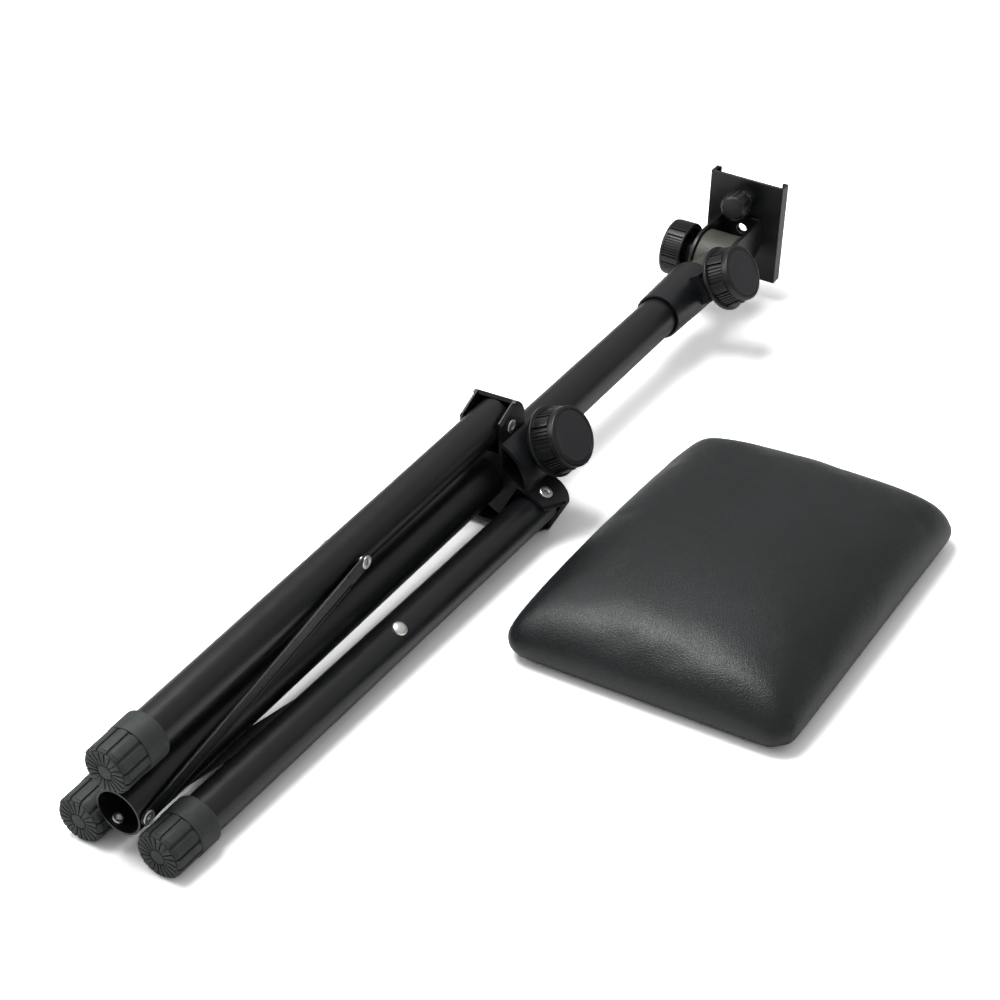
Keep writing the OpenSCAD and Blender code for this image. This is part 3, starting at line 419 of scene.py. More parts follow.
SLOT_FINISH = {f.slot: f for f in (POWDER, NYLON, INLAY, RUBBER, DRUM, BUSH, ZINC, PLY, LEATHER)}

# ---- mesh helpers


def as_mesh(name: str, bm: Shape) -> Mesh:
    """Turns a shape into a mesh and frees it."""
    mesh = bpy.data.meshes.new(name)
    bm.to_mesh(mesh)
    bm.free()
    return mesh


def applied(piece: Piece) -> Mesh:
    """Mesh of an object with its modifiers applied."""
    return bpy.data.meshes.new_from_object(piece.evaluated_get(bpy.context.evaluated_depsgraph_get()))


def put(name: str, data: bpy.types.ID) -> Piece:
    """Links a new object into the scene."""
    made = bpy.data.objects.new(name, data)
    bpy.context.scene.collection.objects.link(made)
    return made


def rounded(points: Sequence[Triple], steps: int) -> list[Pair]:
    """Rounds the corners of a line of points, all but its two ends.

    Args:
        points: Place and corner radius of each point.
        steps: Steps of each rounding.

    Returns:
        The rounded line.
    """
    result: list[Pair] = []
    for i, (x, y, radius) in enumerate(points):
        if radius <= 0 or i in (0, len(points) - 1):
            result.append((x, y))
            continue
        corner = Vector((x, y))
        before, after = (Vector(points[k][:2]) - corner for k in (i - 1, i + 1))
        reach = min(radius / tan(before.angle(after) / 2), 0.49 * before.length, 0.49 * after.length)
        a, b = corner + before.normalized() * reach, corner + after.normalized() * reach
        for t in (s / steps for s in range(steps + 1)):
            result.append(tuple(a * (1 - t) ** 2 + corner * 2 * t * (1 - t) + b * t ** 2))
    return result


def loft(rings: Sequence[Sequence[Triple]], closed: bool = False, capped: bool = False) -> Shape:
    """Joins rings of points by faces.

    Args:
        rings: The rings, all with as many points, or with one where the shape ends in a point.
        closed: Whether the last ring joins the first, as for a tube.
        capped: Whether a face closes each end.

    Returns:
        The shape, with its faces pointing outwards.
    """
    bm = bmesh.new()
    made = [[bm.verts.new(p) for p in ring] for ring in rings]
    count = max(len(ring) for ring in made)
    for low, high in zip(made, made[1:] + made[:1] if closed else made[1:]):
        for i, j in ((i, (i + 1) % count) for i in range(count)):
            corners = [low[i % len(low)], low[j % len(low)], high[j % len(high)], high[i % len(high)]]
            unique = list(dict.fromkeys(corners))
            if len(unique) > 2:
                bm.faces.new(unique)
    if capped:
        bm.faces.new(list(reversed(made[0])))
        bm.faces.new(made[-1])
    bmesh.ops.recalc_face_normals(bm, faces=bm.faces)
    return bm


def revolved(points: Sequence[Triple], steps: int = 4, segments: int = 96, closed: bool = False) -> Shape:
    """Turns a rounded profile round Z.

    Args:
        points: Radius, height and rounding of each point; a radius of zero closes the shape.
        steps: Steps of each rounding.
        segments: Steps round the axis.
        closed: Whether the profile closes on itself, as for a tube.

    Returns:
        The turned shape.
    """
    turns = [2 * pi * i / segments for i in range(segments)]
    return loft([[(0, 0, z)] if r < 1e-6 else [(r * cos(a), r * sin(a), z) for a in turns]
                 for r, z in rounded(points, steps)], closed)


def bar(bottom: Sequence[Pair], top: Sequence[Pair], low: float, high: float, edge: float) -> Shape:
    """A bar between a lower and an upper outline, with rounded edges.

    Args:
        bottom: Outline at the lower height.
        top: Outline at the upper height, with as many points.
        low: Lower height.
        high: Upper height.
        edge: Width of the rounding.

    Returns:
        The bar's shape.
    """
    bm = bmesh.new()
    under = [bm.verts.new((x, y, low)) for x, y in bottom]
    over = [bm.verts.new((x, y, high)) for x, y in top]
    bm.faces.new(list(reversed(under)))
    bm.faces.new(over)
    for i in range(len(under)):
        j = (i + 1) % len(under)
        bm.faces.new((under[i], under[j], over[j], over[i]))
    bmesh.ops.bevel(bm, geom=list(bm.edges), offset=edge, segments=2, profile=0.5, affect="EDGES")
    bmesh.ops.recalc_face_normals(bm, faces=bm.faces)
    return bm


def join(target: Shape, *others: Shape | Mesh) -> Shape:
    """Adds shapes to a first one.

    Args:
        target: Shape that takes the others in.
        others: Shapes or meshes to add; each is freed.

    Returns:
        The first shape.
    """
    for other in others:
        mesh = other if isinstance(other, Mesh) else as_mesh("spare", other)
        target.from_mesh(mesh)
        bpy.data.meshes.remove(mesh)
    return target


def hugging(radius: float, half: float, out: float, back: float, root: float = 1.0) -> list[Pair]:
    """Outline of a rib whose outer side follows a round body.

    Args:
        radius: The body's radius.
        half: Half the rib's width.
        out: How far it stands out.
        back: How far it reaches into the body.
        root: Share of its width that is left at its root.

    Returns:
        The outline's points.
    """
    turn = asin(half / radius)
    far = [((radius + out) * cos(turn * s), (radius + out) * sin(turn * s)) for s in (-1, -0.5, 0, 0.5, 1)]
    return [(radius - back, -half * root)] + far + [(radius - back, half * root)]


def round_edges(bm: Shape, width: float, least: float) -> None:
    """Rounds every edge whose angle is above a least one, in radians."""
    edges = [e for e in bm.edges if len(e.link_faces) == 2 and e.calc_face_angle(0.0) > least]
    bmesh.ops.bevel(bm, geom=edges, offset=width, segments=2, profile=0.5, affect="EDGES", clamp_overlap=True)


def even_normals(piece: Piece) -> None:
    """Lets the broad faces lead the shading, so that it stays flat up to the rounded edges."""
    piece.modifiers.new("even_normals", "WEIGHTED_NORMAL").keep_sharp = True


def place(name: str, bm: Shape, matrix: Matrix, finish: Finish, body: str, node: str, sharp: float = SHARP) -> Piece:
    """Makes a piece from a shape and ties it to its body.

    Args:
        name: The piece's name.
        bm: Its shape in its own frame; it is freed.
        matrix: Its frame.
        finish: Its finish, which names the record's slot.
        body: The body that it rides on.
        node: The node that it stands for.
        sharp: Angle in radians above which its edges stay sharp.

    Returns:
        The new object.
    """
    bm.transform(METRES @ matrix)
    mesh = as_mesh(name, bm)
    mesh.materials.append(finish.material())
    mesh.polygons.foreach_set("use_smooth", [True] * len(mesh.polygons))
    mesh.set_sharp_from_angle(angle=sharp)
    piece = put(name, mesh)
    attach(piece, body)
    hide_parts(node)
    LOG.info("%s: %d faces on %s", name, len(mesh.polygons), body)
    return piece


class AroundAxis:
    """Geometry Nodes tree that repeats a shape round Z, in groups of evenly spaced members."""

    def __init__(self) -> None:
        """Builds the tree."""
        self.tree = tree = bpy.data.node_groups.new("repeat_round_axis", "GeometryNodeTree")
        face = tree.interface
        face.new_socket("Geometry", in_out="INPUT", socket_type="NodeSocketGeometry")
        self.keys = {name: face.new_socket(name, in_out="INPUT", socket_type="NodeSocket" + kind).identifier
                     for name, kind in (("Groups", "Int"), ("Members", "Int"), ("Step", "Float"),
                                        ("Offset", "Float"), ("Material", "Material"))}
        face.new_socket("Geometry", in_out="OUTPUT", socket_type="NodeSocketGeometry")
        given = add_node(tree, "NodeGroupInput").outputs

        index = add_node(tree, "GeometryNodeInputIndex").outputs["Index"]
        turn = calc(tree, "MULTIPLY", calc(tree, "FLOOR", calc(tree, "DIVIDE", index, given["Members"])),
                    calc(tree, "DIVIDE", 2 * pi, given["Groups"]))
        middle = calc(tree, "MULTIPLY", calc(tree, "SUBTRACT", given["Members"], 1.0), 0.5)
        member = calc(tree, "MODULO", index, given["Members"])
        within = calc(tree, "MULTIPLY", calc(tree, "SUBTRACT", member, middle), given["Step"])
        whole = calc(tree, "ADD", calc(tree, "ADD", turn, within), given["Offset"])
        angle = add_node(tree, "CombineXYZ", {"Z": whole})
        number = calc(tree, "MULTIPLY", given["Groups"], given["Members"])
        points = add_node(tree, "GeometryNodePoints", {"Count": number})
        copies = add_node(tree, "GeometryNodeInstanceOnPoints", {
            "Points": points.outputs[0], "Instance": given["Geometry"], "Rotation": angle.outputs["Vector"]})
        real = add_node(tree, "GeometryNodeRealizeInstances", {"Geometry": copies.outputs["Instances"]})
        painted = add_node(tree, "GeometryNodeSetMaterial", {
            "Geometry": real.outputs["Geometry"], "Material": given["Material"]})
        add_node(tree, "NodeGroupOutput", {"Geometry": painted.outputs["Geometry"]})

    def repeat(self, bm: Shape, finish: Finish, groups: int, members: int = 1,
               step: float = 0.0, offset: float = 0.0) -> Mesh:
        """Repeats a shape round Z.

        Args:
            bm: The shape at angle zero; it is freed.
            finish: Its finish.
            groups: Number of groups round the axis.
            members: Copies in a group.
            step: Degrees between two copies of a group.
            offset: Degrees to the first group's middle.

        Returns:
            A plain mesh of all the copies.
        """
        mesh = as_mesh("member", bm)
        carrier = put("member", mesh)
        nodes = carrier.modifiers.new("repeat", "NODES")
        nodes.node_group = self.tree
        values = (groups, members, radians(step), radians(offset), finish.material())
        for key, value in zip(self.keys.values(), values):
            nodes[key] = value
        carrier.update_tag()
        result = applied(carrier)
        carrier.modifiers.remove(nodes)
        bpy.data.objects.remove(carrier)
        bpy.data.meshes.remove(mesh)
        return result


AROUND = AroundAxis()


# ---- knobs


@dataclass
class RibbedKnob:
    """A moulded clamp knob: flange, groups of fine ribs between raised pads, smooth shoulder and cap."""

    name: str
    matrix: Matrix
    body: str
    flange_r: float = 22.6
    flange_h: float = 2.6
    valley_low: float = 19.2
    valley_high: float = 18.0
    rib_out: float = 1.15
    pad_out: float = 1.9
    shoulder_r: float = 19.3
    shoulder_z: float = 13.6
    height: float = 18.6
    cap_r: float = 16.3
    cap_t: float = 1.6
    under_r: float = 15.6
    under_depth: float = 7.0
    boss_r: float = 8.5
    bore_r: float = 4.05
    groups: int = 6
    ribs: int = 5
    rib_step: float = 6.6
    rib_w: float = 1.1
    pad_w: float = 6.2

    def core(self) -> Shape:
        """The turned core with flange, neck, shoulder and the recess for the cap.

        Returns:
            The core's shape.
        """
        floor = self.height - self.cap_t - 0.1
        return revolved([
            (self.bore_r, 0, 0), (self.boss_r, 0, 0.4), (self.boss_r, self.under_depth, 0.6),
            (self.under_r, self.under_depth, 0.8), (self.under_r, 0, 0.5),
            (self.flange_r - 0.5, 0, 0.9), (self.flange_r, self.flange_h, 0.8),
            (self.valley_low, self.flange_h + 0.5, 0.5), (self.valley_high, self.shoulder_z, 0.5),
            (self.shoulder_r, self.shoulder_z + 0.5, 0.5), (self.shoulder_r - 0.3, self.height - 0.1, 2.2),
            (self.cap_r + 0.15, self.height, 0.35), (self.cap_r + 0.15, floor, 0),
            (self.bore_r, floor, 0)], 5, 128, closed=True)

    def rib(self, width: float, out: float) -> Shape:
        """One rib or pad of a width that stands out of the neck."""
        half = width / 2
        return bar(hugging(self.valley_low, half, out, 1.5), hugging(self.valley_high, half, out, 1.5),
                   self.flange_h - 0.6, self.shoulder_z + 0.4, min(0.38, half * 0.7))

    def build(self) -> None:
        """Makes the knob and its cap."""
        ribs = AROUND.repeat(self.rib(self.rib_w, self.rib_out), NYLON, self.groups, self.ribs,
                             self.rib_step, 180 / self.groups)
        pads = AROUND.repeat(self.rib(self.pad_w, self.pad_out), NYLON, self.groups)
        place(self.name + "_ribbed", join(self.core(), ribs, pads), self.matrix, NYLON, self.body, self.name)
        low, high = self.height - self.cap_t, self.height - 0.12
        cap = revolved([(0, low, 0), (self.cap_r, low, 0), (self.cap_r, high, 0.5), (self.cap_r - 2.0, high, 0.4),
                        (self.cap_r - 2.4, high - 0.12, 0.3), (0, high - 0.12, 0)], 4, 128)
        place(self.name + "_inlay", cap, self.matrix, INLAY, self.body, self.name + "_cap")


@dataclass
class TiltKnob(RibbedKnob):
    """The tilt knob: straight sides with finer ribs, a deep recess and a boss that meets the yoke."""

    flange_r: float = 20.6
    flange_h: float = 1.4
    valley_low: float = 19.1
    valley_high: float = 18.9
    rib_out: float = 1.35
    pad_out: float = 1.5
    shoulder_r: float = 20.3
    shoulder_z: float = 13.2
    height: float = 16.0
    under_r: float = 17.6
    under_depth: float = 8.0
    ribs: int = 8
    rib_step: float = 5.4
    rib_w: float = 0.95
    pad_w: float = 4.2
    boss_reach: float = 8.6

    def core(self) -> Shape:
        """The turned core with the boss that reaches back to the yoke.

        Returns:
            The core's shape.
        """
        boss = revolved([
            (self.bore_r, -self.boss_reach, 0), (self.boss_r + 0.4, -self.boss_reach, 0.5),
            (self.boss_r, self.under_depth, 0), (self.bore_r, self.under_depth, 0)], closed=True)
        return join(super().core(), boss)


@dataclass
class LockKnob:
    """The small fluted knob of the lock screw."""

    matrix: Matrix
    radius: float = 10.75
    height: float = 12.0
    stand: float = 8.0
    flutes: int = 14
    flute_half: float = 0.95
    bore_r: float = 3.05
    boss_r: float = 6.0
    boss_h: float = 2.0

    def build(self) -> None:
        """Makes the fluted knob with its boss."""
        half, r, low, high = self.flute_half, self.radius, self.stand, self.stand + self.height
        core = revolved([
            (self.bore_r, low - self.boss_h, 0), (self.boss_r, low - self.boss_h, 0.4), (self.boss_r + 0.4, low, 0.3),
            (r - 1.1, low, 0.6), (r - 1.1, high - 1.6, 1.4), (r - 3.2, high, 1.6), (0, high + 0.3, 0)], 5, 84)
        rib = bar([(r - 3, -half), (r, -half * 0.8), (r, half * 0.8), (r - 3, half)],
                  [(r - 3.6, -half), (r - 0.5, -half * 0.8), (r - 0.5, half * 0.8), (r - 3.6, half)],
                  low + 0.2, high - 1.2, 0.45)
        body = join(core, AROUND.repeat(rib, NYLON, self.flutes))
        place("lock_knob_fluted", body, self.matrix, NYLON, "lock_handle", "lock_knob")


# ---- legs


@dataclass
class RubberFoot:
    """A rubber foot: grip of raised pads, smooth collar, and an end face of radial ridges."""

    side: Side
    core_r: float = 13.0
    pad_r: float = 14.0
    collar_r: float = 14.4
    bore_r: float = 12.05
    length: float = 33.0
    grip: float = 18.0
    end_t: float = 4.0
    pads: int = 12
    pad_w: float = 5.7
    ridges: int = 20
    ridge_in: float = 4.9
    ridge_out: float = 12.2
    ridge_h: float = 1.2

    def ridge(self) -> Shape:
        """One wedge-shaped ridge of the end face."""
        outline = [(self.ridge_in, -0.5), (self.ridge_out, -1.5), (self.ridge_out, 1.5), (self.ridge_in, 0.5)]
        return bar(outline, outline, 0.0, self.ridge_h, 0.25)

    def pad(self) -> Shape:
        """One raised pad of the grip, rounded over the foot's end."""
        outer = hugging(self.pad_r, self.pad_w / 2, 0, 2.4, 0.86)
        lower = bar(hugging(self.pad_r - 1.1, self.pad_w / 2, 0, 2.4, 0.86), outer, 0.7, 2.6, 0.3)
        upper = bar(outer, outer, 2.0, self.grip - 0.3, 0.5)
        return join(upper, lower)

    def build(self) -> None:
        """Makes the foot in its leg's frame."""
        core = revolved([
            (0, 0.05, 0), (4.1, 0.05, 0.4), (4.4, 0.75, 0.2), (self.core_r - 0.9, 0.75, 1.4),
            (self.core_r, 3.0, 0.8), (self.core_r, self.grip - 0.2, 0.2), (self.collar_r - 0.1, self.grip, 0.5),
            (self.collar_r, self.length - 0.6, 0.9), (self.bore_r, self.length, 0.3),
            (self.bore_r, self.end_t, 0), (0, self.end_t, 0)], 5, 120)
        body = join(core, AROUND.repeat(self.ridge(), RUBBER, self.ridges),
                    AROUND.repeat(self.pad(), RUBBER, self.pads))
        reach = LAYOUT.hub_x / cos(LAYOUT.leg_slope)
        matrix = LAYOUT.leg(self.side) @ move(-reach) @ spin(pi / 2, "Y")
        word = self.side.word
        place(f"foot_{word}_ribbed", body, matrix, RUBBER, f"leg_{word}", f"foot_{word}")


# ---- rivets


@dataclass
class Rivets:
    """The rivets that hold legs, hub and braces together, with rolled or domed heads."""

    shank_r: float = 2.2
    hub_shank_r: float = 2.95
    hub_head_r: float = 4.3
    hub_head_h: float = 0.9
    hub_hole_r: float = 1.7
    hub_hole_depth: float = 5.0
    ring_r: float = 3.2
    ring_hole_r: float = 1.75
    dish_r: float = 4.0
    dish_hole_r: float = 1.3
    leg_head_r: float = 4.0
    leg_hole_r: float = 1.5
    leg_hole_depth: float = 2.1
    leg_face: float = 12.05
    spacer_r: float = 2.6
    dome_r: float = 4.6
    dome_h: float = 2.1
    dome_edge: float = 0.3

    def hub(self) -> None:
        """The hollow rivets through the hub's clevises, rolled over at both ends."""
        seat, hole, head = LAYOUT.ear_span / 2, self.hub_hole_r, self.hub_head_r
        top = seat + self.hub_head_h
        half = [(0, top - self.hub_hole_depth, 0), (hole, top - self.hub_hole_depth, 0), (hole, top - 0.1, 0.3),
                (hole + 0.5, top + 0.12, 0.3), (head - 0.5, top - 0.08, 0.5), (head, top - 0.45, 0.25),
                (head - 0.1, seat, 0.1), (self.hub_shank_r, seat, 0)]
        whole = bmesh.new()
        for side in Side:
            one = revolved(half + [(r, -z, c) for r, z, c in reversed(half)], 3, 48)
            one.transform(LAYOUT.on_leg(side) @ move(LAYOUT.hub_x, 0, LAYOUT.pivot_r) @ QUARTER)
            join(whole, one)
        place("hub_rivets_rolled", whole, HERE, NICKEL, "hub", "hub_rivets")

    def turned(self, side: Side, profile: list[Triple]) -> Shape:
        """A turned piece on a brace's lower axis.

        Args:
            side: The leg whose brace it belongs to.
            profile: Radius, distance from the pole's middle and rounding of each point.

        Returns:
            The piece's shape, in place.
        """
        one = revolved(profile, 4, 48, closed=True)
        one.transform(LAYOUT.on_leg(side) @ move(LAYOUT.brace_low_x) @ QUARTER)
        return one

    def mouth(self) -> None:
        """The rolled rings in the pole's mouth, one for each brace."""
        hole, rim, shank, out = self.ring_hole_r, self.ring_r, self.shank_r, LAYOUT.column_r
        seat = sqrt((out - LAYOUT.column_wall) ** 2 - rim ** 2) - 0.05
        profile = [(hole, seat - 1.0, 0.35), (hole + 0.75, seat - 1.15, 0.35), (rim, seat - 0.75, 0.3),
                   (rim - 0.05, seat, 0.1), (shank, seat, 0), (shank, out, 0), (hole, out, 0)]
        whole = join(bmesh.new(), *(self.turned(side, profile) for side in Side))
        place("column_rivets_rolled", whole, HERE, NICKEL, "pole", "column_rivets")

    def eyelets(self) -> None:
        """The dished eyelets that line the braces' lower holes."""
        hole, rim, shank, low = self.dish_hole_r, self.dish_r, self.shank_r, LAYOUT.brace_low
        seat = low + LAYOUT.brace_t + LAYOUT.brace_gap
        profile = [(hole, low, 0), (shank, low, 0), (shank, seat, 0), (rim - 0.05, seat, 0.1), (rim, seat + 0.55, 0.25),
                   (rim - 0.5, seat + 0.9, 0.25), (rim - 1.1, seat + 0.5, 0.3), (hole + 0.6, seat + 0.45, 0.2),
                   (hole, seat + 0.3, 0.2)]
        for side in Side:
            word = side.word
            place(f"eyelet_{word}_dished", self.turned(side, profile), HERE, NICKEL, f"brace_{word}", f"eyelet_{word}")

    def leg(self, side: Side) -> None:
        """A leg's rivet: a low dome on one side, a spacer and a rolled head over the brace on the other.

        Args:
            side: The leg.
        """
        face, shank, head, hole = self.leg_face, self.shank_r, self.leg_head_r, self.leg_hole_r
        low = LAYOUT.column_r + LAYOUT.brace_gap / 2
        high = low + LAYOUT.brace_t + LAYOUT.brace_gap
        floor = high - self.leg_hole_depth
        outer = [(0, floor, 0), (hole, floor, 0), (hole, high + 0.75, 0.3), (shank, high + 1.05, 0.3),
                 (head - 0.5, high + 0.85, 0.5), (head, high + 0.5, 0.25), (head - 0.05, high, 0.1), (shank, high, 0),
                 (shank, low, 0), (self.spacer_r, low, 0.1), (self.spacer_r, face, 0.1), (shank, face, 0),
                 (shank, -face, 0), (self.dome_r, -face, 0)]
        dome = [(self.dome_r * cos(radians(a)), -face - self.dome_edge - self.dome_h * sin(radians(a)), 0)
                for a in range(0, 91, 10)]
        seat = LAYOUT.leg(side) @ move(-LAYOUT.brace_mid) @ QUARTER
        one = revolved(outer + dome, 4, 48)
        place(f"rivet_{side.word}_domed", one, seat, NICKEL, f"leg_{side.word}", f"rivet_{side.word}")

    def build(self) -> None:
        """Makes the rivets."""
        self.hub()
        self.mouth()
        self.eyelets()
        for side in Side:
            self.leg(side)


# ---- braces


@dataclass
class Brace:
    """A pressed flat brace: round eyes at its ends and raised rims along both edges between them."""

    side: Side
    half_w: float = 4.5
    hole_r: float = 2.25
    rim_w: float = 1.3
    rim_h: float = 0.55
    rim_edge: float = 0.28
    edge: float = 0.22
    rim_start: float = 11.0
    rim_end: float = 15.0

    def plate(self, length: float, low: float, high: float) -> Shape:
        """The flat bar with its two holes, between two levels.

        Args:
            length: Distance between the holes.
            low: Level of the inner face.
            high: Level of the outer face.

        Returns:
            Its shape, with rounded edges.
        """
        def arc(x: float, radius: float, start: float, sweep: float, steps: int) -> list[Pair]:
            """Points of an arc round a hole's middle."""
            turns = [radians(start + sweep * i / steps) for i in range(steps + 1)]
            return [(x + radius * cos(a), radius * sin(a)) for a in turns]

        bm = bmesh.new()
        edges = []
        for loop in (arc(0, self.half_w, 90, 180, 16) + arc(length, self.half_w, -90, 180, 16),
                     arc(0, self.hole_r, 0, 345, 23), arc(length, self.hole_r, 0, 345, 23)):
            verts = [bm.verts.new((x, y, low)) for x, y in loop]
            edges += [bm.edges.new(pair) for pair in zip(verts, verts[1:] + verts[:1])]
        bmesh.ops.triangle_fill(bm, use_beauty=True, use_dissolve=False, edges=edges)
        grown = bmesh.ops.extrude_face_region(bm, geom=list(bm.faces))["geom"]
        bmesh.ops.translate(bm, vec=(0, 0, high - low), verts=[v for v in grown if isinstance(v, bmesh.types.BMVert)])
        bmesh.ops.recalc_face_normals(bm, faces=bm.faces)
        round_edges(bm, self.edge, 1.0)
        return bm

    def build(self) -> None:
        """Makes the brace in its own frame, lower hole at zero."""
        slope = LAYOUT.leg_slope
        high_x = LAYOUT.hub_x - LAYOUT.brace_mid * cos(slope) - LAYOUT.brace_low_x
        high_z = LAYOUT.pivot_r - LAYOUT.brace_mid * sin(slope)
        length, rise = hypot(high_x, high_z), atan2(high_z, high_x)
        top = LAYOUT.brace_low + LAYOUT.brace_t
        body = self.plate(length, LAYOUT.brace_low, top)
        for way in (-1, 1):
            inner, outer = way * (self.half_w - self.rim_w), way * (self.half_w - 0.04)
            start, end = self.rim_start, length - self.rim_end
            outline = [(start, inner), (start + 3, outer), (end - 3, outer), (end, inner)]
            if way > 0:
                outline.reverse()
            join(body, bar(outline, outline, top - 0.3, top + self.rim_h, self.rim_edge))
        seat = LAYOUT.on_leg(self.side) @ move(LAYOUT.brace_low_x) @ spin(-rise, "Y") @ QUARTER
        node = f"brace_{self.side.word}"
        even_normals(place(node + "_pressed", body, seat, POWDER, node, node))


# ---- pad


@dataclass
class ArmPad:
    """The arm rest pad: crowned foam under a leatherette cover that is pulled over a board."""

    length: float = 250.2
    width: float = 186.9
    height: float = 48.5
    base: float = 5.0
    shift_x: float = 1.5
    shift_y: float = 0.55
    corner: float = 15.0
    edge: float = 20.0
    band: float = 5.4
    len_power: float = 1.9
    width_power: float = 1.7
    flat_power: float = 0.26
    full_share: float = 0.92
    corner_drop: float = 0.4
    draw: float = -0.6
    tuck: float = 5.0
    fold_margin: float = 26.0
    fold_h: float = 16.0
    folds: int = 14
    fold_depth: float = 0.55
    wave_mm: float = 34.0
    wave_depth: float = 0.22
    calm_h: float = 20.0
    under_h: float = 1.6
    hem_t: float = 0.9
    inner_rise: float = 2.5
    swell: float = 2.8
    cap: float = 3.0
    held_h: float = 2.5
    corner_steps: int = 10
    side_steps: int = 14
    voxel: float = 4.0
    smoothings: int = 5
    board_l: float = 228.0
    board_w: float = 167.0
    board_corner: float = 19.0
    wrap: float = 1.6
    wrap_h: float = 9.0
    wrap_reach: float = 3.5

    def ring(self, inset: float) -> list[Pair]:
        """Rounded rectangle whose sides bow out between the corners.

        Args:
            inset: Distance inside the pad's outline.

        Returns:
            The ring's points, anticlockwise.
        """
        radius = max(self.corner - inset, self.corner / 8)
        half_l, half_w = self.length / 2 - inset, self.width / 2 - inset
        steps = self.corner_steps
        points: list[Pair] = []
        for sx, sy, start in ((1, 1, 0), (-1, 1, 90), (-1, -1, 180), (1, -1, 270)):
            for i in range(steps + 1):
                a = radians(start + 90 * i / steps)
                points.append((sx * (half_l - radius) + radius * cos(a),
                               sy * (half_w - radius) + radius * sin(a)))
        full: list[Pair] = []
        for i, (x, y) in enumerate(points):
            to_x, to_y = points[(i + 1) % len(points)]
            parts = self.side_steps if i % (steps + 1) == steps else 1
            full += [(x + (to_x - x) * j / parts, y + (to_y - y) * j / parts) for j in range(parts)]
        return [self.drawn(x, y, half_l, half_w, radius) for x, y in full]

    def drawn(self, x: float, y: float, half_l: float, half_w: float, radius: float) -> Pair:
        """Draws a point of a ring in, most at the middle of a side.

        Args:
            x: Its place along the pad.
            y: Its place across the pad.
            half_l: Half the ring's length.
            half_w: Half the ring's width.
            radius: The ring's corner radius.

        Returns:
            The point's new place.
        """
        near_x = max(0.0, 1 - (half_l - abs(x)) / self.corner)
        near_y = max(0.0, 1 - (half_w - abs(y)) / self.corner)
        mid_y = max(0.0, 1 - (y / (half_w - radius / 2)) ** 2)
        mid_x = max(0.0, 1 - (x / (half_l - radius / 2)) ** 2)
        return (x - copysign(self.draw * mid_y * near_x, x), y - copysign(self.draw * mid_x * near_y, y))

    def crown(self, x: float, y: float) -> float:
        """Share of the full height, falling to the edges and corners.

        Args:
            x: Place along the pad.
            y: Place across the pad.

        Returns:
            The share over that place.
        """
        along = 1 - (2 * self.full_share * abs(x) / self.length) ** self.len_power
        across = 1 - (2 * self.full_share * abs(y) / self.width) ** self.width_power
        low = 1 - self.corner_drop * abs(2 * x / self.length) ** 8 * abs(2 * y / self.width) ** 8
        return low * max(0.0, along * across) ** self.flat_power

    def level(self, inset: float, share: float) -> list[Triple]:
        """A ring at a distance inside the outline, at a share of the crown's height."""
        rise = self.height - self.band
        return [(x, y, self.band + rise * self.crown(x, y) * share) for x, y in self.ring(inset)]

    def shape(self) -> Shape:
        """The pad's closed form before it swells, standing on the board's level.

        Returns:
            The form.
        """
        rings = [[(x, y, 0.0) for x, y in self.ring(self.tuck + share * (self.width / 2 - self.tuck))]
                 for share in (0.85, 0.6, 0.3)]
        for a in (radians(90 * i / 6) for i in range(7)):
            low = self.band * (1 - cos(a))
            rings.append([(x, y, low) for x, y in self.ring(self.tuck * (1 - sin(a)))])
        for a in (radians(90 * i / 14) for i in range(1, 15)):
            rings.append(self.level(self.edge * (1 - cos(a)), sin(a)))
        rings += [self.level((0.3 + 0.08 * i) * self.width / 2, 1.0) for i in range(9)]
        return loft(rings, capped=True)

    def swollen(self, mesh: Mesh) -> Mesh:
        """Lets the cover swell under pressure as cloth, then applies the result.

        Args:
            mesh: The form in metres, in the pad's own frame.

        Returns:
            The swollen mesh.
        """
        cushion = put("pad_form", mesh)
        remesh = cushion.modifiers.new("even", "REMESH")
        remesh.mode = "VOXEL"
        remesh.voxel_size = self.voxel * MM
        even = applied(cushion)
        cushion.modifiers.clear()
        cushion.data = even
        start = [v.co.copy() for v in even.vertices]
        level = (self.base + self.held_h) * MM
        held = cushion.vertex_groups.new(name="held")
        for v in even.vertices:
            held.add([v.index], 1.0 if v.co.z < level else 0.0, "REPLACE")
        cloth = cushion.modifiers.new("cover", "CLOTH")
        for name, value in {"quality": 6, "mass": 0.35, "tension_stiffness": 18, "compression_stiffness": 14,
                            "bending_stiffness": 1.2, "use_pressure": True, "uniform_pressure_force": 4.0,
                            "vertex_group_mass": held.name}.items():
            setattr(cloth.settings, name, value)
        cloth.settings.effector_weights.gravity = 0.0
        cloth.point_cache.frame_start = 1
        cloth.point_cache.frame_end = 20
        scene = bpy.context.scene
        for number in range(1, 21):
            scene.frame_set(number)
        moved = [v.co.copy() for v in applied(cushion).vertices]
        cushion.modifiers.clear()
        scene.frame_set(1)
        limit = self.cap * MM
        for v, old, new in zip(even.vertices, start, moved):
            step = new - old
            if step.length > limit:
                step *= limit / step.length
            v.co = old + step
        bpy.data.objects.remove(cushion)
        return even

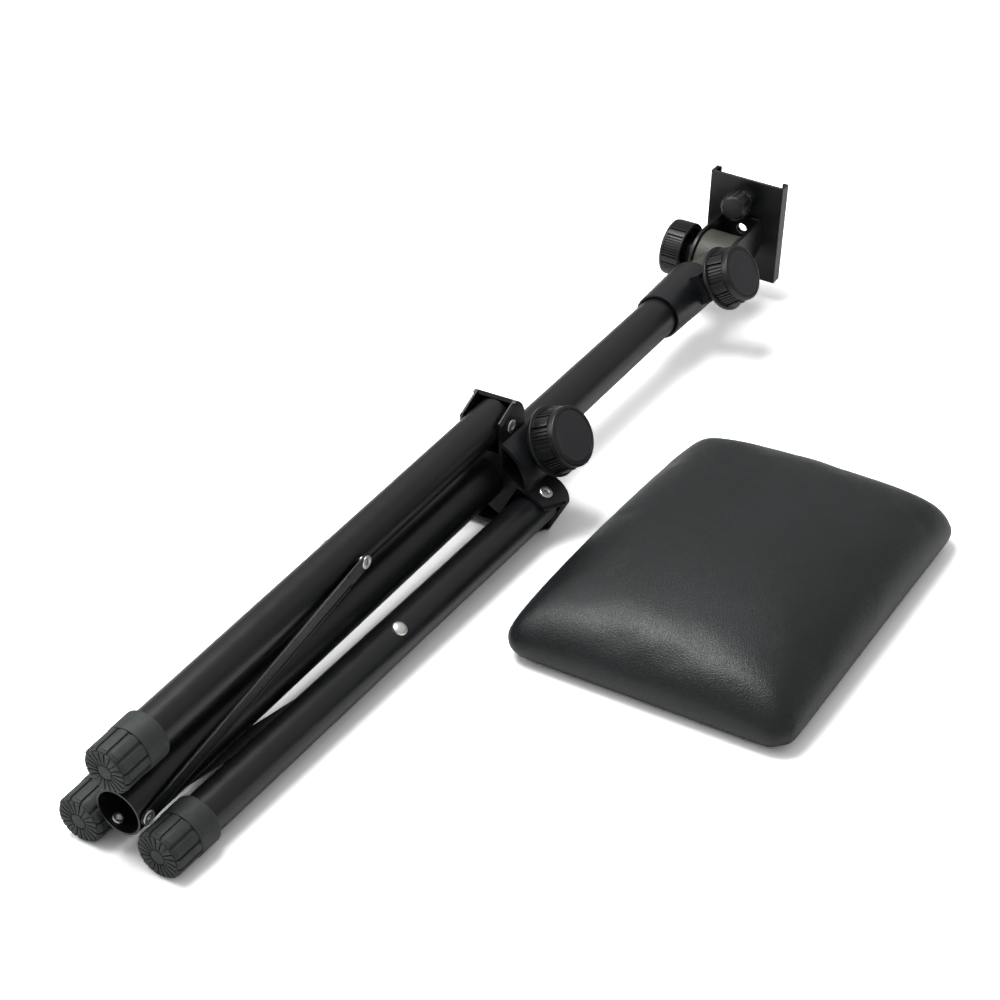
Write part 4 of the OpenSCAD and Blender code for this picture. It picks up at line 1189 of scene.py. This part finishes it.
    def round_board(self, p: Vector) -> Vector:
        """Keeps a low point of the cover outside the edge of the board.

        Args:
            p: A point in the cover's own frame.

        Returns:
            The point, moved out if it lay within that edge.
        """
        x, y = p.x + self.shift_x, p.y + self.shift_y
        mid_x, mid_y = self.board_l / 2 - self.board_corner, self.board_w / 2 - self.board_corner
        near = Vector((max(-mid_x, min(mid_x, x)), max(-mid_y, min(mid_y, y)), 0))
        out = Vector((x, y, 0)) - near
        full = self.board_corner + self.wrap
        if not self.board_corner - self.wrap_reach < out.length < full:
            return p
        out *= full / out.length
        return Vector((near.x + out.x - self.shift_x, near.y + out.y - self.shift_y, p.z))

    def finish(self, mesh: Mesh) -> Shape:
        """Smooths the cover, lays it flat on its base and folds it at the lower corners.

        Args:
            mesh: The swollen cover in metres.

        Returns:
            The finished cover in millimetres.
        """
        bm = bmesh.new()
        bm.from_mesh(mesh)
        bm.transform(MILLIMETRES)
        for _ in range(self.smoothings):
            bmesh.ops.smooth_vert(bm, verts=bm.verts, factor=0.5, use_axis_x=True, use_axis_y=True, use_axis_z=True)
        half_l, half_w = self.length / 2 - self.corner, self.width / 2 - self.corner
        for v in bm.verts:
            p = v.co.copy()
            dx, dy = abs(p.x) - half_l, abs(p.y) - half_w
            if dx > 0 and dy > 0:
                angle = atan2(dy, dx)
                low = max(0.0, 1 - (p.z - self.base) / self.fold_h)
                fold = cos(angle * self.folds) * self.fold_depth * low ** 1.5 * sin(2 * angle)
                out = Vector((copysign(dx, p.x), copysign(dy, p.y), 0)).normalized()
                p += out * fold
            wave = self.wave_depth * noise.noise(p / self.wave_mm)
            p.z += wave * min(1.0, max(0.0, (p.z - self.base) / self.calm_h))
            if p.z < self.base + self.under_h:
                near = min(self.length / 2 - abs(p.x), self.width / 2 - abs(p.y))
                p.z = self.base + (self.inner_rise if near > self.fold_margin else -self.hem_t)
            if p.z < self.base + self.wrap_h:
                p = self.round_board(p)
            v.co = p
        return bm

    def build(self) -> None:
        """Makes the pad's cover."""
        bm = self.shape()
        shrink = Matrix.Diagonal((1 - 2 * self.swell / self.length, 1 - 2 * self.swell / self.width,
                                  1 - self.swell / self.height, 1.0))
        bm.transform(METRES @ move(0, 0, self.base) @ shrink)
        cover = self.finish(self.swollen(as_mesh("pad_form", bm)))
        seat = LAYOUT.pad() @ move(self.shift_x, self.shift_y)
        piece = place("pad_cover", cover, seat, LEATHER, "pad", "pad_cushion", pi)
        smooth = piece.modifiers.new("smooth", "SUBSURF")
        smooth.levels = smooth.render_levels = 1


# ---- fittings


@dataclass
class EdgedNode:
    """A node's own shape with rounded edges, such as a moulded or pressed part has."""

    node: str
    body: str
    finish: Finish
    width: float
    angle: float = 30.0
    flat: float = 1.5

    def build(self) -> None:
        """Makes the rounded copy, merged and with its flat faces whole before it is rounded."""
        bm = bmesh.new()
        bm.from_mesh(frame["nodes"][self.node].data)
        bm.transform(MILLIMETRES)
        bmesh.ops.remove_doubles(bm, verts=bm.verts, dist=0.002)
        bmesh.ops.dissolve_limit(bm, angle_limit=radians(self.flat), verts=bm.verts, edges=bm.edges)
        round_edges(bm, self.width, radians(self.angle))
        even_normals(place(self.node + "_edged", bm, HERE, self.finish, self.body, self.node))


EDGED = (
    EdgedNode("hub", "hub", NYLON, 0.8),
    EdgedNode("column_collar", "pole", NYLON, 0.5),
    EdgedNode("yoke", "head", POWDER, 0.4),
    EdgedNode("channel_plate", "head", POWDER, 0.3),
    EdgedNode("tilt_drum", "mast", DRUM, 0.3),
)

# ---- stage


def glow(tree: Tree, strength: Socket = 1.0, kind: str = "Emission") -> Socket:
    """White light of a strength, from a surface or from the world."""
    return add_node(tree, kind, {"Color": WHITE, "Strength": strength}).outputs[0]


def either(tree: Tree, share: Socket, first: Socket, second: Socket) -> Socket:
    """Mix of two shaders by a share."""
    return add_node(tree, "MixShader", {0: share, 1: first, 2: second}).outputs[0]


@dataclass
class Studio:
    """Floor, lamps and camera."""

    yaw: float = 0.57372
    pitch: float = 0.6004
    roll: float = 0.03809
    focal_px: float = 2022.04
    image_px: float = 1000.0
    eye: Triple = (-513.107, -565.700, 686.059)
    surround: float = 0.5
    paper_seen: float = 1.7
    paper_grey: float = 0.8
    wall_radius: float = 4.0
    wall_height: float = 2.0
    wall_low: float = 0.12
    floor_half: float = 6.0
    fade_start: float = 0.8
    fade_end: float = 1.3
    sensor: float = 36.0
    target: Triple = (0.05, -0.05, 0.0)
    lamps: tuple[tuple[str, Triple, float, float, float], ...] = (
        ("softbox_top", (-0.13, 0.41, 1.35), 0.74, 0.68, 16.0),
        ("softbox_left", (-0.55, 1.15, 0.8), 0.8, 0.6, 5.2),
    )

    def camera(self) -> None:
        """The camera where the photograph was taken from."""
        level = cos(self.pitch)
        forward = Vector((level * cos(self.yaw), level * sin(self.yaw), -sin(self.pitch)))
        right = Vector((sin(self.yaw), -cos(self.yaw), 0))
        down = forward.cross(right)
        across = right * cos(self.roll) + down * sin(self.roll)
        fall = down * cos(self.roll) - right * sin(self.roll)
        axes = Matrix((across, -fall, -forward)).transposed().to_4x4()
        axes.translation = Vector(self.eye)
        world = LAYOUT.lay() @ axes
        world.translation *= MM
        data = bpy.data.cameras.new("view")
        data.sensor_fit = "HORIZONTAL"
        data.sensor_width = self.sensor
        data.lens = self.focal_px * self.sensor / self.image_px
        camera = put("view", data)
        camera.matrix_world = world
        bpy.context.scene.camera = camera

    def prop(self, name: str, mesh: Mesh) -> tuple[Tree, Socket, Socket, Socket]:
        """Stages a piece of the studio with a new material.

        Args:
            name: Its name.
            mesh: Its mesh.

        Returns:
            The material's tree, its surface, the share of camera rays and the place on the piece.
        """
        mat = bpy.data.materials.new(name)
        tree = blank(mat)
        mesh.materials.append(mat)
        put(name, mesh)
        seen = add_node(tree, "LightPath").outputs["Is Camera Ray"]
        coords = add_node(tree, "TexCoord").outputs["Object"]
        return tree, add_node(tree, "OutputMaterial").inputs["Surface"], seen, coords

    def floor(self) -> None:
        """A floor that keeps the object's shadow, and is plain white far away."""
        mesh = bpy.data.meshes.new("floor")
        size = self.floor_half
        mesh.from_pydata([(-size, -size, 0), (size, -size, 0), (size, size, 0), (-size, size, 0)], [], [(0, 1, 2, 3)])
        tree, surface, seen, coords = self.prop("floor", mesh)
        shown, plain = (add_node(tree, "BsdfDiffuse", {"Color": (c, c, c, 1)}).outputs[0]
                        for c in (self.paper_seen, self.paper_grey))
        reach = add_node(tree, "VectorMath", {0: coords}, operation="LENGTH")
        far = add_node(tree, "MapRange", {
            "Value": reach.outputs["Value"], "From Min": self.fade_start, "From Max": self.fade_end})
        paper = either(tree, far.outputs["Result"], shown, glow(tree))
        tree.links.new(either(tree, seen, plain, paper), surface)

    def horizon(self) -> None:
        """A round wall that is dim low down and as bright as the surround at its top, and white to the camera."""
        edge = [(self.wall_radius, 0, 0), (self.wall_radius, self.wall_height, 0)]
        mesh = as_mesh("horizon", revolved(edge, segments=64))
        tree, surface, seen, coords = self.prop("horizon", mesh)
        height = add_node(tree, "SeparateXYZ", {0: coords}).outputs["Z"]
        level = add_node(tree, "MapRange", {
            "Value": height, "From Min": 0.1, "From Max": self.wall_height,
            "To Min": self.wall_low, "To Max": self.surround})
        tree.links.new(either(tree, seen, glow(tree, level.outputs["Result"]), glow(tree)), surface)

    def light(self) -> None:
        """Two softboxes and an even surround."""
        for name, where, wide, high, power in self.lamps:
            data = bpy.data.lights.new(name, "AREA")
            data.shape = "RECTANGLE"
            data.size, data.size_y, data.energy = wide, high, power
            lamp = put(name, data)
            lamp.location = where
            lamp.rotation_euler = (Vector(self.target) - Vector(where)).to_track_quat("-Z", "Y").to_euler()
        world = bpy.data.worlds.new("surround")
        tree = blank(world)
        path = add_node(tree, "LightPath").outputs
        seen = calc(tree, "MAXIMUM", path["Is Camera Ray"], path["Is Transmission Ray"])
        soft, white = (glow(tree, strength, "Background") for strength in (self.surround, 1.0))
        add_node(tree, "OutputWorld", {"Surface": either(tree, seen, soft, white)})
        bpy.context.scene.world = world
        bpy.context.scene.view_settings.view_transform = "Standard"

    def build(self) -> None:
        """Sets up floor, lamps and camera."""
        self.camera()
        self.floor()
        self.horizon()
        self.light()


def dress_nodes() -> None:
    """Gives every carried-over node the finish of its material slot."""
    slots = {s["node"]: s["material_slot"] for s in frame["record"]["subparts"]}
    for name, node in frame["nodes"].items():
        finish = SLOT_FINISH[slots[name]].material()
        for slot in node.material_slots:
            slot.material = finish


def main() -> None:
    """Builds the scene, piece by piece."""
    logging.basicConfig(level=logging.INFO, format="%(message)s")
    Studio().build()
    dress_nodes()
    hub_x = LAYOUT.hub_x + LAYOUT.hub_screw_set
    collar_x = LAYOUT.collar_end - LAYOUT.collar_screw_set
    RibbedKnob("hub_knob", LAYOUT.clamp(hub_x, LAYOUT.hub_knob_base), "hub_handle").build()
    RibbedKnob("collar_knob", LAYOUT.clamp(collar_x, LAYOUT.collar_knob_base), "collar_handle").build()
    TiltKnob("tilt_knob", LAYOUT.tilt_knob(), "tilt_handle").build()
    LockKnob(LAYOUT.lock()).build()
    for side in Side:
        RubberFoot(side).build()
        Brace(side).build()
    Rivets().build()
    for piece in EDGED:
        piece.build()
    ArmPad().build()


if __name__ == "__main__":
    main()
